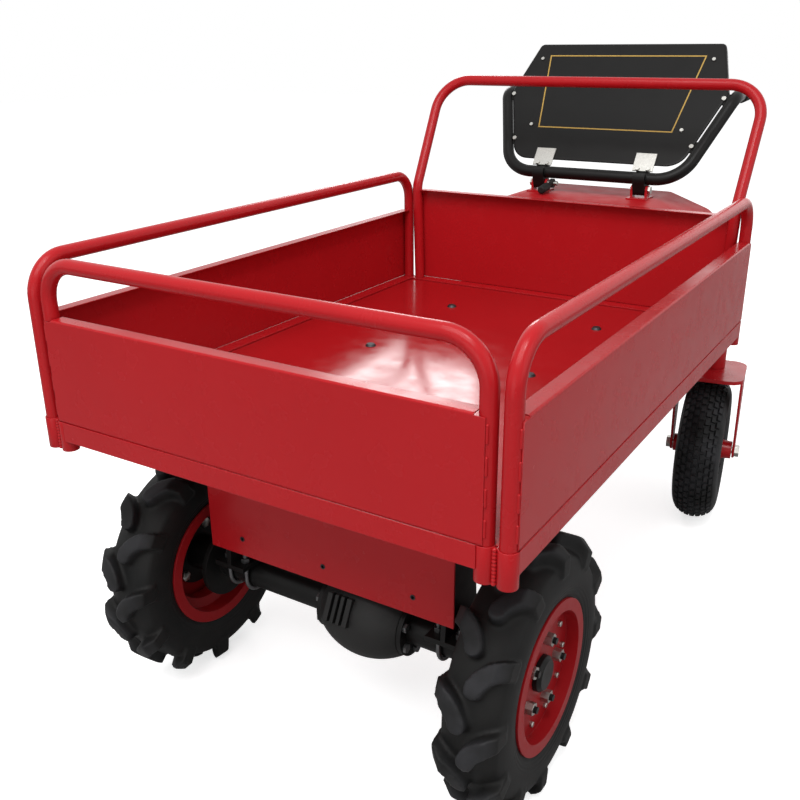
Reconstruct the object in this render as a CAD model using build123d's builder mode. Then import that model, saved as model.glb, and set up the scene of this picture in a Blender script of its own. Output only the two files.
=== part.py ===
from build123d import *
import os
from math import cos, radians, sin, sqrt

# Electric mini dumper in millimetres. Z is up from the floor, the front is -Y, the vehicle's left is +X.

# Load bed, measured over the outer faces of its channel rails. The chassis tail, the casters, the battery box and
# the handlebar take their stations from its rear end
bed_width = 780
bed_length = 1053
rail_top = 525.5
rail_height = 30
rail_flange = 30
rail_gauge = 3
floor_gauge = 2.5
floor_drop = 3
floor_margin = 1
floor_corner = 8
cross_width = 50
cross_ahead = 290
cross_pitch = 310
floor_bolt_x = 160
bolt_shank = 8
bolt_head = 20

# Fits
seat_gap = 0.3
run_fit = 0.05
side_play = 0.5

# Lift-out gates: bent tube hoops with a folded sheet on the outside of their legs
gate_tube = 22
gate_wall = 2
socket_wall = 1.2
socket_drop = 18
leg_pitch = 29
leg_inset = 13
gate_rise = 236.5
gate_corner = 55
gate_sheet_rise = 157.5
rear_sheet_rise = 204.5
rear_lean = 29
rear_slant = 255.5
rear_corner = 70
rear_bend = 45
rear_bend_gap = 8
rear_splay = 6
sheet_gauge = 1.5
sheet_lap = 2
sheet_bend = 3
lip_depth = 22

# Drive axle and wheels
axle_ahead = 300
track = 624
tyre_radius = 202.5
tyre_width = 96
carcass_gauge = 9
lug_height = 18.5
lug_count = 12
lug_width = 25
lug_phase = 9.6
bead_radius = 101
rim_lip = 14
rim_gauge = 4
rim_width = 88
well_depth = 15
disc_gauge = 4
disc_out = 20
rim_bolt_count = 10
rim_bolt = 4.5
rim_bolt_circle = 156
axle_tube = 50
axle_tube_wall = 5
shaft_diameter = 28
shaft_length = 102
bearing_width = 16
hub_reach = 48
hub_gap = 6
hub_flange_diameter = 120
hub_flange_gauge = 10
hub_nose_diameter = 54
hub_nose_reach = 16
stud_circle = 104
stud_count = 5
stud_diameter = 10
nut_flats = 17
nut_height = 12
case_radius = 69
case_neck = 46
case_width = 140
case_offset = 50
transfer_width = 44
fin_block = 44
fin_block_side = 22
fin_block_tilt = 28
fin_block_rise = 6
fin_gap = 5
fin_pitch = 11
motor_radius = 68
motor_length = 165
motor_behind = 138
motor_lift = 42

# Chassis
rail_spread = 408
chassis_width = 42
chassis_height = 50
chassis_wall = 3
bed_gap = 8
apron_ahead = 360
apron_width = 454
apron_bottom = 272
apron_gauge = 3
apron_hole = 7
apron_hole_pitch = 160
apron_hole_rise = 30
pivot_ahead = 342
pivot_drop = 31
pin_diameter = 12
lug_plate = 8.5
tail_behind = 243.5
front_tube_behind = 110
middle_tube_behind = 180

# Swivel casters
caster_spread = 596
caster_behind = 218.5
caster_lead = 45
caster_turn = 8.5
caster_radius = 165
caster_width = 96
caster_rim_radius = 76
sleeve_diameter = 50
king_pin = 25
bush_wall = 4
crown_width = 142
crown_length = 150
crown_gauge = 8
crown_clear = 9
fork_gauge = 5
fork_width = 34
skirt_depth = 27
caster_axle = 16

# Battery box behind the bed
box_front = 21.5
box_depth = 242
box_width = 512
box_top = 724
box_shoulder = 685
box_top_width = 296
box_corner = 40
cover_gauge = 2
tray_gauge = 3
tray_lip = 6
battery_width = 77
battery_depth = 181
battery_height = 167
battery_gap = 4

# Handlebar and console
clevis_spread = 233
clevis_behind = 139.5
cheek_gauge = 5
cheek_wall = 5
cheek_clear = 1
fold_pin = 10
arm_width = 26
bar_diameter = 26
bar_wall = 2
bar_behind = 139.5
bar_rise = 42
bar_lean = 37.3
bar_base = 396
bar_base_corner = 75
bar_knee = 533
bar_knee_rise = 206
bar_knee_corner = 45
grip_behind = 438.5
grip_spread = 500
grip_diameter = 33
grip_length = 110
grip_end = 4
panel_gauge = 2
panel_proud = 6
panel_bottom = 28
panel_top = 337
panel_top_width = 432
panel_round = 6
hood_depth = 20
tab_rise = 79
tab_pitch = 118
strap_width = 45
strap_gauge = 3
strap_rise = 56
screw_head = 8
screw_inset = 16
screw_drop = 43
low_screw_inset = 48
low_screw_rise = 117
console_width = 300
console_depth = 86
console_bottom = 150
console_top = 290
console_wall = 2.5
gauge_diameter = 52
key_x = -95
rocker_x = 62
rocker_width = 22
rocker_length = 36
stop_x = 118
stop_diameter = 34
stop_travel = 5
lever_drop = 30
lock_length = 64
lock_droop = 7
lock_grip = 18
lock_reach = 30
lock_gauge = 8

# Derived levels and stations. The grips toe in, so the outer edge of a grip's end reaches a little further back.
leg_line = bed_length / 2 - leg_inset
leg_x = bed_width / 2 - leg_inset
socket_diameter = gate_tube + 2 * seat_gap + 2 * socket_wall
front_reach = bed_length / 2
knee_behind = bar_behind + bar_knee_rise * sin(radians(bar_lean))
grip_line = Vector(0, grip_behind - knee_behind, 0) - Vector((bar_knee - grip_spread) / 2, 0, 0)
grip_toe = -grip_line.normalized().X
back_reach = bed_length / 2 + grip_behind + grip_diameter / 2 * grip_toe
bed_y = (front_reach - back_reach) / 2
bed_rear = bed_y + bed_length / 2
rail_bottom = rail_top - rail_height
floor_top = rail_top - floor_drop
leg_foot = rail_bottom - socket_drop + 2
axle_y = bed_y - axle_ahead
axle_z = tyre_radius
wheel_x = track / 2
pivot_y = bed_y - pivot_ahead
pivot_z = rail_bottom - pivot_drop
chassis_top = rail_bottom - bed_gap
chassis_bottom = chassis_top - chassis_height
rail_x = rail_spread / 2
lug_radius = 1.4 * pin_diameter
caster_y = bed_rear + caster_behind
caster_x = caster_spread / 2
bar_height = box_top + bar_rise
bar_radius = bar_diameter / 2
deck = Plane((0, bed_y, 0))

os.makedirs("parts", exist_ok=True)


# Bed frame: a ring of inward channel with box cross members, corner sockets and two hinge lugs
cross_stations = [bed_y - cross_ahead + i * cross_pitch for i in range(3)]
inner_width = bed_width - 2 * rail_flange
inner_length = bed_length - 2 * rail_flange
cross_height = rail_height - floor_drop - floor_gauge
cross_z = rail_bottom + cross_height / 2
socket_points = []
for side in (-1, 1):
    for end in (-1, 1):
        socket_points.append((side * leg_x, bed_y + end * leg_line))
        socket_points.append((side * (leg_x - leg_pitch), bed_y + end * leg_line))
floor_bolts_at = [(s * floor_bolt_x, y) for s in (-1, 1) for y in cross_stations]
lug_x = rail_x - chassis_width / 2 - side_play - lug_plate

with BuildPart() as bed_frame:
    with BuildSketch(deck.offset(rail_bottom)):
        Rectangle(bed_width, bed_length)
        Rectangle(inner_width, inner_length, mode=Mode.SUBTRACT)
    extrude(amount=rail_height)
    with BuildSketch(deck.offset(rail_bottom + rail_gauge)):
        Rectangle(bed_width - 2 * rail_gauge, bed_length - 2 * rail_gauge)
    extrude(amount=rail_height - 2 * rail_gauge, mode=Mode.SUBTRACT)
    with BuildSketch(Plane.YZ.offset(rail_gauge - bed_width / 2)):
        with Locations(*[(y, cross_z) for y in cross_stations]):
            Rectangle(cross_width, cross_height)
            Rectangle(cross_width - 2 * rail_gauge, cross_height - 2 * rail_gauge, mode=Mode.SUBTRACT)
        with Locations((pivot_y - cross_width / 4, cross_z)):
            Rectangle(cross_width / 2, cross_height)
    extrude(amount=bed_width - 2 * rail_gauge)
    for lug_face in (lug_x, -lug_x - lug_plate):
        with BuildSketch(Plane.YZ.offset(lug_face)):
            with Locations((pivot_y, pivot_z)):
                Circle(lug_radius)
            with Locations((pivot_y, (pivot_z + rail_bottom) / 2 + rail_gauge / 2)):
                Rectangle(2 * lug_radius, pivot_drop + rail_gauge)
            with Locations((pivot_y, pivot_z)):
                Circle(pin_diameter / 2 + run_fit, mode=Mode.SUBTRACT)
        extrude(amount=lug_plate)
    with BuildSketch(Plane.XY.offset(rail_bottom - socket_drop)):
        with Locations(*socket_points):
            Circle(socket_diameter / 2)
    extrude(amount=rail_height + socket_drop)
    with BuildSketch(Plane.XY.offset(rail_bottom - socket_drop)):
        with Locations(*socket_points):
            Circle(gate_tube / 2 + seat_gap)
    extrude(amount=rail_height + socket_drop, mode=Mode.SUBTRACT)
    with BuildSketch(Plane.XY.offset(rail_bottom)):
        with Locations(*floor_bolts_at):
            Circle(bolt_shank / 2 + run_fit)
    extrude(amount=cross_height, mode=Mode.SUBTRACT)
bed_frame.part.label = "bed_frame"
export_step(bed_frame.part, "parts/bed_frame.step")

# Bed floor: one sheet let in between the rails on the cross members, with round-headed bolts into them
with BuildPart() as bed_floor:
    with BuildSketch(deck.offset(floor_top)):
        RectangleRounded(inner_width - 2 * floor_margin, inner_length - 2 * floor_margin, floor_corner)
    extrude(amount=-floor_gauge)
    with Locations(*[(x, y, floor_top) for x, y in floor_bolts_at]):
        Hole(bolt_shank / 2 + run_fit)
bed_floor.part.label = "bed_floor"
export_step(bed_floor.part, "parts/bed_floor.step")

with BuildPart() as floor_bolts:
    with BuildSketch(Plane.XY.offset(rail_bottom - bolt_shank)):
        with Locations(*floor_bolts_at):
            Circle(bolt_shank / 2)
    extrude(amount=floor_top - rail_bottom + bolt_shank)
    with BuildSketch(Plane.XY.offset(floor_top)):
        with Locations(*floor_bolts_at):
            Circle(bolt_head / 2)
    extrude(amount=bolt_shank / 2, taper=35)
    with BuildSketch(Plane.XY.offset(rail_bottom - bolt_shank)):
        with Locations(*floor_bolts_at):
            RegularPolygon(bolt_shank * 0.8, 6, major_radius=False)
    extrude(amount=bolt_shank)
floor_bolts.part.label = "floor_bolts"
export_step(floor_bolts.part, "parts/floor_bolts.step")

# Gates: each has a hoop of round tube whose legs drop into the sockets, and a sheet with its top lip folded in
# between the legs. Each gate is drawn on a plane that faces outwards, with x along the gate and y up. The rear
# hoop spreads a little as it rises, then leans back above its sheet.
gate_planes = {
    "front_gate": Plane((0, bed_y - leg_line, 0), x_dir=(1, 0, 0), z_dir=(0, -1, 0)),
    "rear_gate": Plane((0, bed_y + leg_line, 0), x_dir=(-1, 0, 0), z_dir=(0, 1, 0)),
    "left_gate": Plane((leg_x, bed_y, 0), x_dir=(0, 1, 0), z_dir=(1, 0, 0)),
    "right_gate": Plane((-leg_x, bed_y, 0), x_dir=(0, -1, 0), z_dir=(-1, 0, 0)),
}
sheet_proud = gate_tube / 2 + seat_gap + sheet_gauge
lip_clear = gate_tube / 2 + 4 * seat_gap

for name, plane in gate_planes.items():
    end_gate = name in ("front_gate", "rear_gate")
    leg_half = leg_x - leg_pitch if end_gate else leg_line
    sheet_top = rail_top + (rear_sheet_rise if name == "rear_gate" else gate_sheet_rise)
    sheet_bottom = rail_top + seat_gap
    lip_half = leg_half
    leg_route = [(leg_half, leg_foot, 0), (leg_half, rail_top + gate_rise, 0)]
    leg_bends = [gate_corner]
    if name == "rear_gate":
        lip_half = leg_half + rear_splay
        bend_level = sheet_top + rear_bend_gap
        slant_up = rear_slant * cos(radians(rear_lean))
        slant_back = rear_slant * sin(radians(rear_lean))
        leg_route = [
            (leg_half, leg_foot, 0),
            (leg_half, rail_top + rear_bend_gap, 0),
            (lip_half, bend_level, 0),
            (lip_half + rear_splay, bend_level + slant_up, slant_back),
        ]
        leg_bends = [rear_bend, rear_bend, rear_corner]
    hoop_route = [(-x, y, z) for x, y, z in leg_route] + leg_route[::-1]

    with BuildPart() as gate_hoop:
        with BuildLine():
            FilletPolyline(
                *[plane.from_local_coords(point) for point in hoop_route], radius=leg_bends + leg_bends[::-1]
            )
        with BuildSketch(Plane(plane.from_local_coords((-leg_half, leg_foot, 0)))):
            Circle(gate_tube / 2)
            Circle(gate_tube / 2 - gate_wall, mode=Mode.SUBTRACT)
        sweep()
    gate_hoop.part.label = f"{name}_hoop"
    export_step(gate_hoop.part, f"parts/{name}_hoop.step")

    sheet_half = lip_half + sheet_lap
    fold = Plane(plane.from_local_coords((-sheet_half, 0, 0)), x_dir=plane.z_dir, z_dir=-plane.x_dir)
    with BuildPart() as gate_sheet:
        with BuildLine(fold):
            FilletPolyline(
                (sheet_proud - lip_depth, sheet_top),
                (sheet_proud, sheet_top),
                (sheet_proud, sheet_bottom),
                radius=sheet_bend,
            )
        make_brake_formed(sheet_gauge, 2 * sheet_half, side=Side.RIGHT)
        with BuildSketch(plane):
            for s in (-1, 1):
                with Locations((s * (lip_half + lip_clear), sheet_top)):
                    Rectangle(4 * lip_clear, 2 * sheet_bend)
        extrude(amount=lip_depth, both=True, mode=Mode.SUBTRACT)
    gate_sheet.part.label = f"{name}_sheet"
    export_step(gate_sheet.part, f"parts/{name}_sheet.step")

# Chassis frame: two box rails, three cross tubes and a sleeve for each caster's king pin
chassis_front = bed_y - apron_ahead + apron_gauge
chassis_length = apron_ahead - apron_gauge + bed_length / 2 + tail_behind
crown_top = 2 * caster_radius + crown_clear + crown_gauge
sleeve_bottom = crown_top + side_play
sleeve_bore = king_pin / 2 + bush_wall
cross_tubes = [axle_y + front_tube_behind, bed_y + middle_tube_behind, caster_y]
with BuildPart() as chassis_frame:
    with BuildSketch(Plane.XZ.offset(-chassis_front)):
        with Locations(*[(s * rail_x, chassis_bottom + chassis_height / 2) for s in (-1, 1)]):
            RectangleRounded(chassis_width, chassis_height, chassis_wall)
    extrude(amount=-chassis_length)
    with BuildSketch(Plane.YZ.offset(-rail_x)):
        with Locations(*[(y, chassis_bottom + chassis_height / 2) for y in cross_tubes]):
            Rectangle(chassis_width, chassis_height)
    extrude(amount=2 * rail_x)
    with BuildSketch(Plane.YZ.offset(-caster_x)):
        with Locations((caster_y, chassis_bottom + chassis_height / 2)):
            Rectangle(chassis_width, chassis_height)
    extrude(amount=2 * caster_x)
    with BuildSketch(Plane.XY.offset(sleeve_bottom)):
        with Locations((-caster_x, caster_y), (caster_x, caster_y)):
            Circle(sleeve_diameter / 2)
    extrude(amount=chassis_top - sleeve_bottom)
    with BuildSketch(Plane.XZ.offset(-chassis_front)):
        with Locations(*[(s * rail_x, chassis_bottom + chassis_height / 2) for s in (-1, 1)]):
            Rectangle(chassis_width - 2 * chassis_wall, chassis_height - 2 * chassis_wall)
    extrude(amount=-chassis_length, mode=Mode.SUBTRACT)
    with BuildSketch(Plane.XY.offset(sleeve_bottom)):
        with Locations((-caster_x, caster_y), (caster_x, caster_y)):
            Circle(sleeve_bore)
    extrude(amount=chassis_top - sleeve_bottom, mode=Mode.SUBTRACT)
    with BuildSketch(Plane.YZ.offset(-rail_x - chassis_width)):
        with Locations((pivot_y, pivot_z)):
            Circle(pin_diameter / 2 + run_fit)
    extrude(amount=2 * rail_x + 2 * chassis_width, mode=Mode.SUBTRACT)
chassis_frame.part.label = "chassis_frame"
export_step(chassis_frame.part, "parts/chassis_frame.step")

# Front apron: a plate on the front ends of the chassis rails, with three holes along its foot. It stops
# under the bed's hinge lugs, and an ear closes the end of each rail.
apron_top = pivot_z - lug_radius - 2 * side_play
with BuildPart() as front_apron:
    with BuildSketch(Plane.XZ.offset(-(bed_y - apron_ahead))):
        with Locations((0, (apron_bottom + apron_top) / 2)):
            Rectangle(apron_width, apron_top - apron_bottom)
        with Locations(*[(s * rail_x, apron_top) for s in (-1, 1)]):
            Rectangle(chassis_width - 2, chassis_top - apron_top - 1, align=(Align.CENTER, Align.MIN))
        with Locations((0, apron_bottom + apron_hole_rise)):
            with GridLocations(apron_hole_pitch, 0, 3, 1):
                Circle(apron_hole / 2, mode=Mode.SUBTRACT)
    extrude(amount=-apron_gauge)
front_apron.part.label = "front_apron"
export_step(front_apron.part, "parts/front_apron.step")

# Hinge pins: headed pins through the chassis rails and the bed's lugs
with BuildPart() as hinge_pins:
    for s in (-1, 1):
        outer = s * (rail_x + chassis_width / 2)
        with BuildSketch(Plane.YZ.offset(outer)):
            with Locations((pivot_y, pivot_z)):
                Circle(pin_diameter / 2)
        extrude(amount=-s * (chassis_width + side_play + lug_plate + pin_diameter / 3))
        with BuildSketch(Plane.YZ.offset(outer)):
            with Locations((pivot_y, pivot_z)):
                RegularPolygon(pin_diameter * 0.8, 6, major_radius=False)
        extrude(amount=s * pin_diameter / 2)
hinge_pins.part.label = "hinge_pins"
export_step(hinge_pins.part, "parts/hinge_pins.step")

# Bed pads: rubber buttons on the chassis rails under the bed's rear rail
pad_y = bed_rear - rail_flange / 2
with BuildPart() as bed_pads:
    with BuildSketch(Plane.XY.offset(chassis_top)):
        with Locations((-rail_x, pad_y), (rail_x, pad_y)):
            Circle(rail_flange / 2)
    extrude(amount=bed_gap - seat_gap)
    chamfer(bed_pads.edges().group_by(Axis.Z)[-1], 1.5)
bed_pads.part.label = "bed_pads"
export_step(bed_pads.part, "parts/bed_pads.step")

# Axle hangers: an upright with a cap under each chassis rail and a foot on the axle tube
foot_gauge = 8
foot_z = axle_z + axle_tube / 2
foot_length = axle_tube + 50
bolt_offset = (axle_tube + bolt_shank) / 2 + run_fit
u_bolt_x = 18
with BuildPart() as axle_hangers:
    for s in (-1, 1):
        with BuildSketch(Plane.YZ.offset(s * rail_x - foot_gauge / 2)):
            with BuildLine():
                Polyline(
                    (axle_y - foot_length / 2, foot_z),
                    (axle_y + foot_length / 2, foot_z),
                    (axle_y + foot_length / 2, foot_z + foot_gauge),
                    (axle_y + foot_length / 3, chassis_bottom),
                    (axle_y - foot_length / 3, chassis_bottom),
                    (axle_y - foot_length / 2, foot_z + foot_gauge),
                    close=True,
                )
            make_face()
        extrude(amount=foot_gauge)
        with Locations((s * rail_x, axle_y, foot_z + foot_gauge / 2)):
            Box(2 * u_bolt_x + 24, foot_length, foot_gauge)
        with Locations((s * rail_x, axle_y, chassis_bottom - foot_gauge / 2)):
            Box(chassis_width - 4 * apron_gauge, foot_length, foot_gauge)
        with BuildSketch(Plane.XY.offset(foot_z)):
            with Locations((s * rail_x, axle_y)):
                with GridLocations(2 * u_bolt_x, 2 * bolt_offset, 2, 2):
                    Circle(bolt_shank / 2 + run_fit)
        extrude(amount=foot_gauge, mode=Mode.SUBTRACT)
axle_hangers.part.label = "axle_hangers"
export_step(axle_hangers.part, "parts/axle_hangers.step")

# Axle bolts: two U-bolts round each end of the axle tube, with nuts on the hanger's foot, and hexagon heads round
# both flanges of the gear case
flange_bolt_count = 6
flange_gauge = 8
with BuildPart() as axle_bolts:
    for s in (-1, 1):
        for offset_x in (-u_bolt_x, u_bolt_x):
            bolt_plane = Plane((s * rail_x + offset_x, axle_y, axle_z), x_dir=(0, 1, 0), z_dir=(1, 0, 0))
            leg_top = axle_tube / 2 + foot_gauge + 2 * bolt_shank
            with BuildLine(bolt_plane) as bolt_path:
                Line((-bolt_offset, leg_top), (-bolt_offset, 0))
                CenterArc((0, 0), bolt_offset, 180, 180)
                Line((bolt_offset, 0), (bolt_offset, leg_top))
            with BuildSketch(Plane(bolt_plane.from_local_coords((-bolt_offset, leg_top, 0)))):
                Circle(bolt_shank / 2)
            sweep(path=bolt_path.wires()[0])
    with BuildSketch(Plane.XY.offset(foot_z + foot_gauge)):
        for s in (-1, 1):
            with Locations((s * rail_x, axle_y)):
                with GridLocations(2 * u_bolt_x, 2 * bolt_offset, 2, 2):
                    RegularPolygon(bolt_shank * 0.8, 6, major_radius=False)
    extrude(amount=bolt_shank)
    for s in (-1, 1):
        with BuildSketch(Plane.YZ.offset(case_offset + s * (case_width / 2 + flange_gauge))):
            with Locations((axle_y, axle_z)):
                with PolarLocations(axle_tube / 2 + 11, flange_bolt_count, 30):
                    RegularPolygon(bolt_shank * 0.8, 6, major_radius=False)
        extrude(amount=s * bolt_shank * 0.7)
axle_bolts.part.label = "axle_bolts"
export_step(axle_bolts.part, "parts/axle_bolts.step")

# Axle tubes: one each side of the gear case, with a bolted flange inboard and a shield by the wheel
tube_end = wheel_x - hub_reach - hub_gap
with BuildPart() as axle_tubes:
    for s in (-1, 1):
        inboard = case_offset + s * case_width / 2
        with BuildSketch(Plane.YZ.offset(inboard)):
            with Locations((axle_y, axle_z)):
                Circle(axle_tube / 2)
        extrude(amount=s * abs(s * tube_end - inboard))
        with BuildSketch(Plane.YZ.offset(inboard)):
            with Locations((axle_y, axle_z)):
                Circle(axle_tube / 2 + 20)
        extrude(amount=s * flange_gauge)
        with BuildSketch(Plane.YZ.offset(s * (tube_end - flange_gauge))):
            with Locations((axle_y, axle_z)):
                Circle(hub_flange_diameter / 2)
        extrude(amount=s * flange_gauge)
        with BuildSketch(Plane.YZ.offset(inboard)):
            with Locations((axle_y, axle_z)):
                Circle(axle_tube / 2 - axle_tube_wall)
        extrude(amount=s * abs(s * tube_end - inboard), mode=Mode.SUBTRACT)
axle_tubes.part.label = "axle_tubes"
export_step(axle_tubes.part, "parts/axle_tubes.step")

# Gear case: the differential's swelling round the axle, with a finned block on its front and a transfer arm back
# to the motor
motor_y = axle_y + motor_behind
motor_z = axle_z + motor_lift
case_half = case_width / 2
transfer_face = case_offset - transfer_width / 2
fins_front = Vector(0, -cos(radians(fin_block_tilt)), sin(radians(fin_block_tilt)))
fins_plane = Plane((case_offset - fin_block_side, axle_y, axle_z), x_dir=(1, 0, 0), z_dir=fins_front)
with BuildPart() as gear_case:
    with BuildSketch(Plane((case_offset, axle_y, axle_z), x_dir=(1, 0, 0), z_dir=(0, -1, 0))):
        with BuildLine():
            Polyline((-case_half, case_neck), (-case_half, 0), (case_half, 0), (case_half, case_neck))
            ThreePointArc((case_half, case_neck), (0, case_radius), (-case_half, case_neck))
        make_face()
    revolve(axis=Axis((case_offset, axle_y, axle_z), (1, 0, 0)))
    with BuildSketch(Plane.YZ.offset(transfer_face)):
        with Locations((axle_y, axle_z)):
            Circle(case_radius - 4)
        with Locations((motor_y, motor_z)):
            Circle(motor_radius)
        make_hull()
    extrude(amount=transfer_width)
    with BuildSketch(fins_plane):
        Rectangle(fin_block, fin_block)
    extrude(amount=case_radius + fin_block_rise)
    with BuildSketch(fins_plane.offset(case_radius + fin_block_rise)):
        with GridLocations(fin_pitch, 0, 3, 1):
            Rectangle(fin_gap, fin_block)
    extrude(amount=-2 * fin_block_rise, mode=Mode.SUBTRACT)
gear_case.part.label = "gear_case"
export_step(gear_case.part, "parts/gear_case.step")

# Drive motor: a ribbed barrel bolted to the gear case's arm, with a smaller end bell
rib_count = 20
bell_length = 25
with BuildPart() as drive_motor:
    with BuildSketch(Plane.YZ.offset(transfer_face)):
        with Locations((motor_y, motor_z)):
            Circle(motor_radius - 2)
        with Locations((motor_y, motor_z)):
            with PolarLocations(motor_radius - 2, rib_count):
                Rectangle(10, 8, mode=Mode.SUBTRACT)
    extrude(amount=-(motor_length - bell_length))
    with BuildSketch(Plane.YZ.offset(transfer_face - motor_length + bell_length)):
        with Locations((motor_y, motor_z)):
            Circle(motor_radius - 8)
    extrude(amount=-bell_length, taper=15)
drive_motor.part.label = "drive_motor"
export_step(drive_motor.part, "parts/drive_motor.step")

# Axle bearings: sealed rings in the outer ends of the axle tubes
with BuildPart() as axle_bearings:
    for s in (-1, 1):
        with BuildSketch(Plane.YZ.offset(s * tube_end)):
            with Locations((axle_y, axle_z)):
                Circle(axle_tube / 2 - axle_tube_wall)
                Circle(shaft_diameter / 2 + run_fit, mode=Mode.SUBTRACT)
        extrude(amount=-s * bearing_width)
axle_bearings.part.label = "axle_bearings"
export_step(axle_bearings.part, "parts/axle_bearings.step")

# Drive wheels, drawn with "a" along the axle outwards from the tyre's middle and "r" out from the axle
rim_half = rim_width / 2
flange_radius = bead_radius + rim_lip
crown_radius = tyre_radius - lug_height
tyre_half = tyre_width / 2
bulge_radius = (bead_radius + tyre_radius) / 2 - 4
shoulder_radius = crown_radius - 12
disc_face = disc_out + disc_gauge
lug_top = tyre_radius + 1
lug_angle = 360 / lug_count

for side, name in ((1, "left"), (-1, "right")):
    centre = Vector(side * wheel_x, axle_y, axle_z)
    axle = Axis(centre, (side, 0, 0))
    section = Plane(centre, x_dir=(side, 0, 0), z_dir=(0, -side, 0))
    disc_plane = Plane(centre, x_dir=(0, 1, 0), z_dir=(side, 0, 0))

    # Tyre lugs: curved bars with round inner ends that lead when the wheel rolls forwards, one set each side
    with BuildPart() as lugs:
        for half in (-1, 1):
            lug_tilt = radians(half * lug_angle / 4)
            outwards = Vector(0, -sin(lug_tilt), cos(lug_tilt))
            with BuildSketch(Plane(centre, x_dir=(1, 0, 0), z_dir=outwards).offset(lug_top)):
                lug_line = Edge.make_three_point_arc(
                    (half * 7, -0.95 * lug_width),
                    (half * 0.55 * tyre_half, 0.1 * lug_width),
                    (half * 1.2 * tyre_half, 0.5 * lug_width),
                )
                SlotArc(lug_line, lug_width)
            extrude(amount=-(lug_top - bulge_radius) * 0.99)
        with BuildSketch(Plane(centre, x_dir=(1, 0, 0), z_dir=(0, -1, 0))):
            with BuildLine():
                Polyline(
                    (-tyre_half - 1, bulge_radius + 12),
                    (-tyre_half, tyre_radius - 15),
                    (-tyre_half + 16, tyre_radius),
                    (tyre_half - 16, tyre_radius),
                    (tyre_half, tyre_radius - 15),
                    (tyre_half + 1, bulge_radius + 12),
                    (tyre_half - carcass_gauge, bulge_radius + 12),
                    (tyre_half - 2 * carcass_gauge, shoulder_radius),
                    (0, crown_radius - carcass_gauge / 2),
                    (-tyre_half + 2 * carcass_gauge, shoulder_radius),
                    (-tyre_half + carcass_gauge, bulge_radius + 12),
                    close=True,
                )
            make_face()
        revolve(axis=Axis(centre, (1, 0, 0)), mode=Mode.INTERSECT)

    with BuildPart() as tyre:
        with BuildSketch(section):
            with BuildLine():
                for s in (-1, 1):
                    bead = (s * (rim_half - rim_gauge - seat_gap), bead_radius + seat_gap)
                    Polyline((s * (rim_half - 24), bead_radius + seat_gap), bead, (bead[0], flange_radius))
                    ThreePointArc(
                        (bead[0], flange_radius),
                        (s * (tyre_half - 1), bulge_radius),
                        (s * (tyre_half - 7), shoulder_radius),
                    )
                    ThreePointArc(
                        (s * (rim_half - 24), bead_radius + seat_gap),
                        (s * (tyre_half - carcass_gauge), bulge_radius),
                        (s * (tyre_half - 2 * carcass_gauge), shoulder_radius - carcass_gauge / 2),
                    )
                ThreePointArc((-tyre_half + 7, shoulder_radius), (0, crown_radius), (tyre_half - 7, shoulder_radius))
                ThreePointArc(
                    (-tyre_half + 2 * carcass_gauge, shoulder_radius - carcass_gauge / 2),
                    (0, crown_radius - carcass_gauge),
                    (tyre_half - 2 * carcass_gauge, shoulder_radius - carcass_gauge / 2),
                )
            make_face()
        revolve(axis=axle)
        with Locations(disc_plane):
            with PolarLocations(0, lug_count, start_angle=-side * lug_phase):
                add(disc_plane.to_local_coords(lugs.part))
    tyre.part.label = f"{name}_tyre"
    export_step(tyre.part, f"parts/{name}_tyre.step")

    # Rim: a pressed drop-centre rim with a flat disc and stud holes
    with BuildPart() as rim:
        with BuildSketch(section):
            with BuildLine():
                Polyline(
                    (-rim_half, flange_radius),
                    (-rim_half + rim_gauge, flange_radius),
                    (-rim_half + rim_gauge, bead_radius),
                    (-rim_half + 28, bead_radius),
                    (-rim_half + 34, bead_radius - well_depth),
                    (rim_half - 34, bead_radius - well_depth),
                    (rim_half - 28, bead_radius),
                    (rim_half - rim_gauge, bead_radius),
                    (rim_half - rim_gauge, flange_radius),
                    (rim_half, flange_radius),
                    (rim_half, bead_radius - rim_gauge),
                    (rim_half - 26, bead_radius - rim_gauge),
                    (rim_half - 32, bead_radius - well_depth - rim_gauge),
                    (-rim_half + 32, bead_radius - well_depth - rim_gauge),
                    (-rim_half + 26, bead_radius - rim_gauge),
                    (-rim_half, bead_radius - rim_gauge),
                    close=True,
                )
            make_face()
        revolve(axis=axle)
        with BuildSketch(disc_plane.offset(disc_out)):
            Circle(bead_radius - rim_gauge / 2)
            Circle(hub_nose_diameter / 2 + seat_gap, mode=Mode.SUBTRACT)
            with PolarLocations(stud_circle / 2, stud_count):
                Circle(stud_diameter / 2 + seat_gap, mode=Mode.SUBTRACT)
        extrude(amount=disc_gauge)
    rim.part.label = f"{name}_rim"
    export_step(rim.part, f"parts/{name}_rim.step")

    # Hub: half shaft, flange against the rim disc, nose through it and studs
    with BuildPart() as hub:
        with BuildSketch(disc_plane.offset(disc_out)):
            Circle(hub_flange_diameter / 2)
        extrude(amount=-hub_flange_gauge)
        with BuildSketch(disc_plane.offset(disc_out - hub_flange_gauge)):
            Circle(hub_nose_diameter / 2 + 4)
        extrude(amount=-(hub_reach + disc_out - hub_flange_gauge))
        with BuildSketch(disc_plane.offset(-hub_reach)):
            Circle(shaft_diameter / 2)
        extrude(amount=-shaft_length)
        with BuildSketch(disc_plane.offset(disc_out)):
            Circle(hub_nose_diameter / 2)
        extrude(amount=hub_nose_reach)
        chamfer(hub.faces().sort_by(axle)[-1].edges(), 5)
        with BuildSketch(disc_plane.offset(disc_out)):
            with PolarLocations(stud_circle / 2, stud_count):
                Circle(stud_diameter / 2)
        extrude(amount=disc_gauge + nut_height + 5)
    hub.part.label = f"{name}_hub"
    export_step(hub.part, f"parts/{name}_hub.step")

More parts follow.
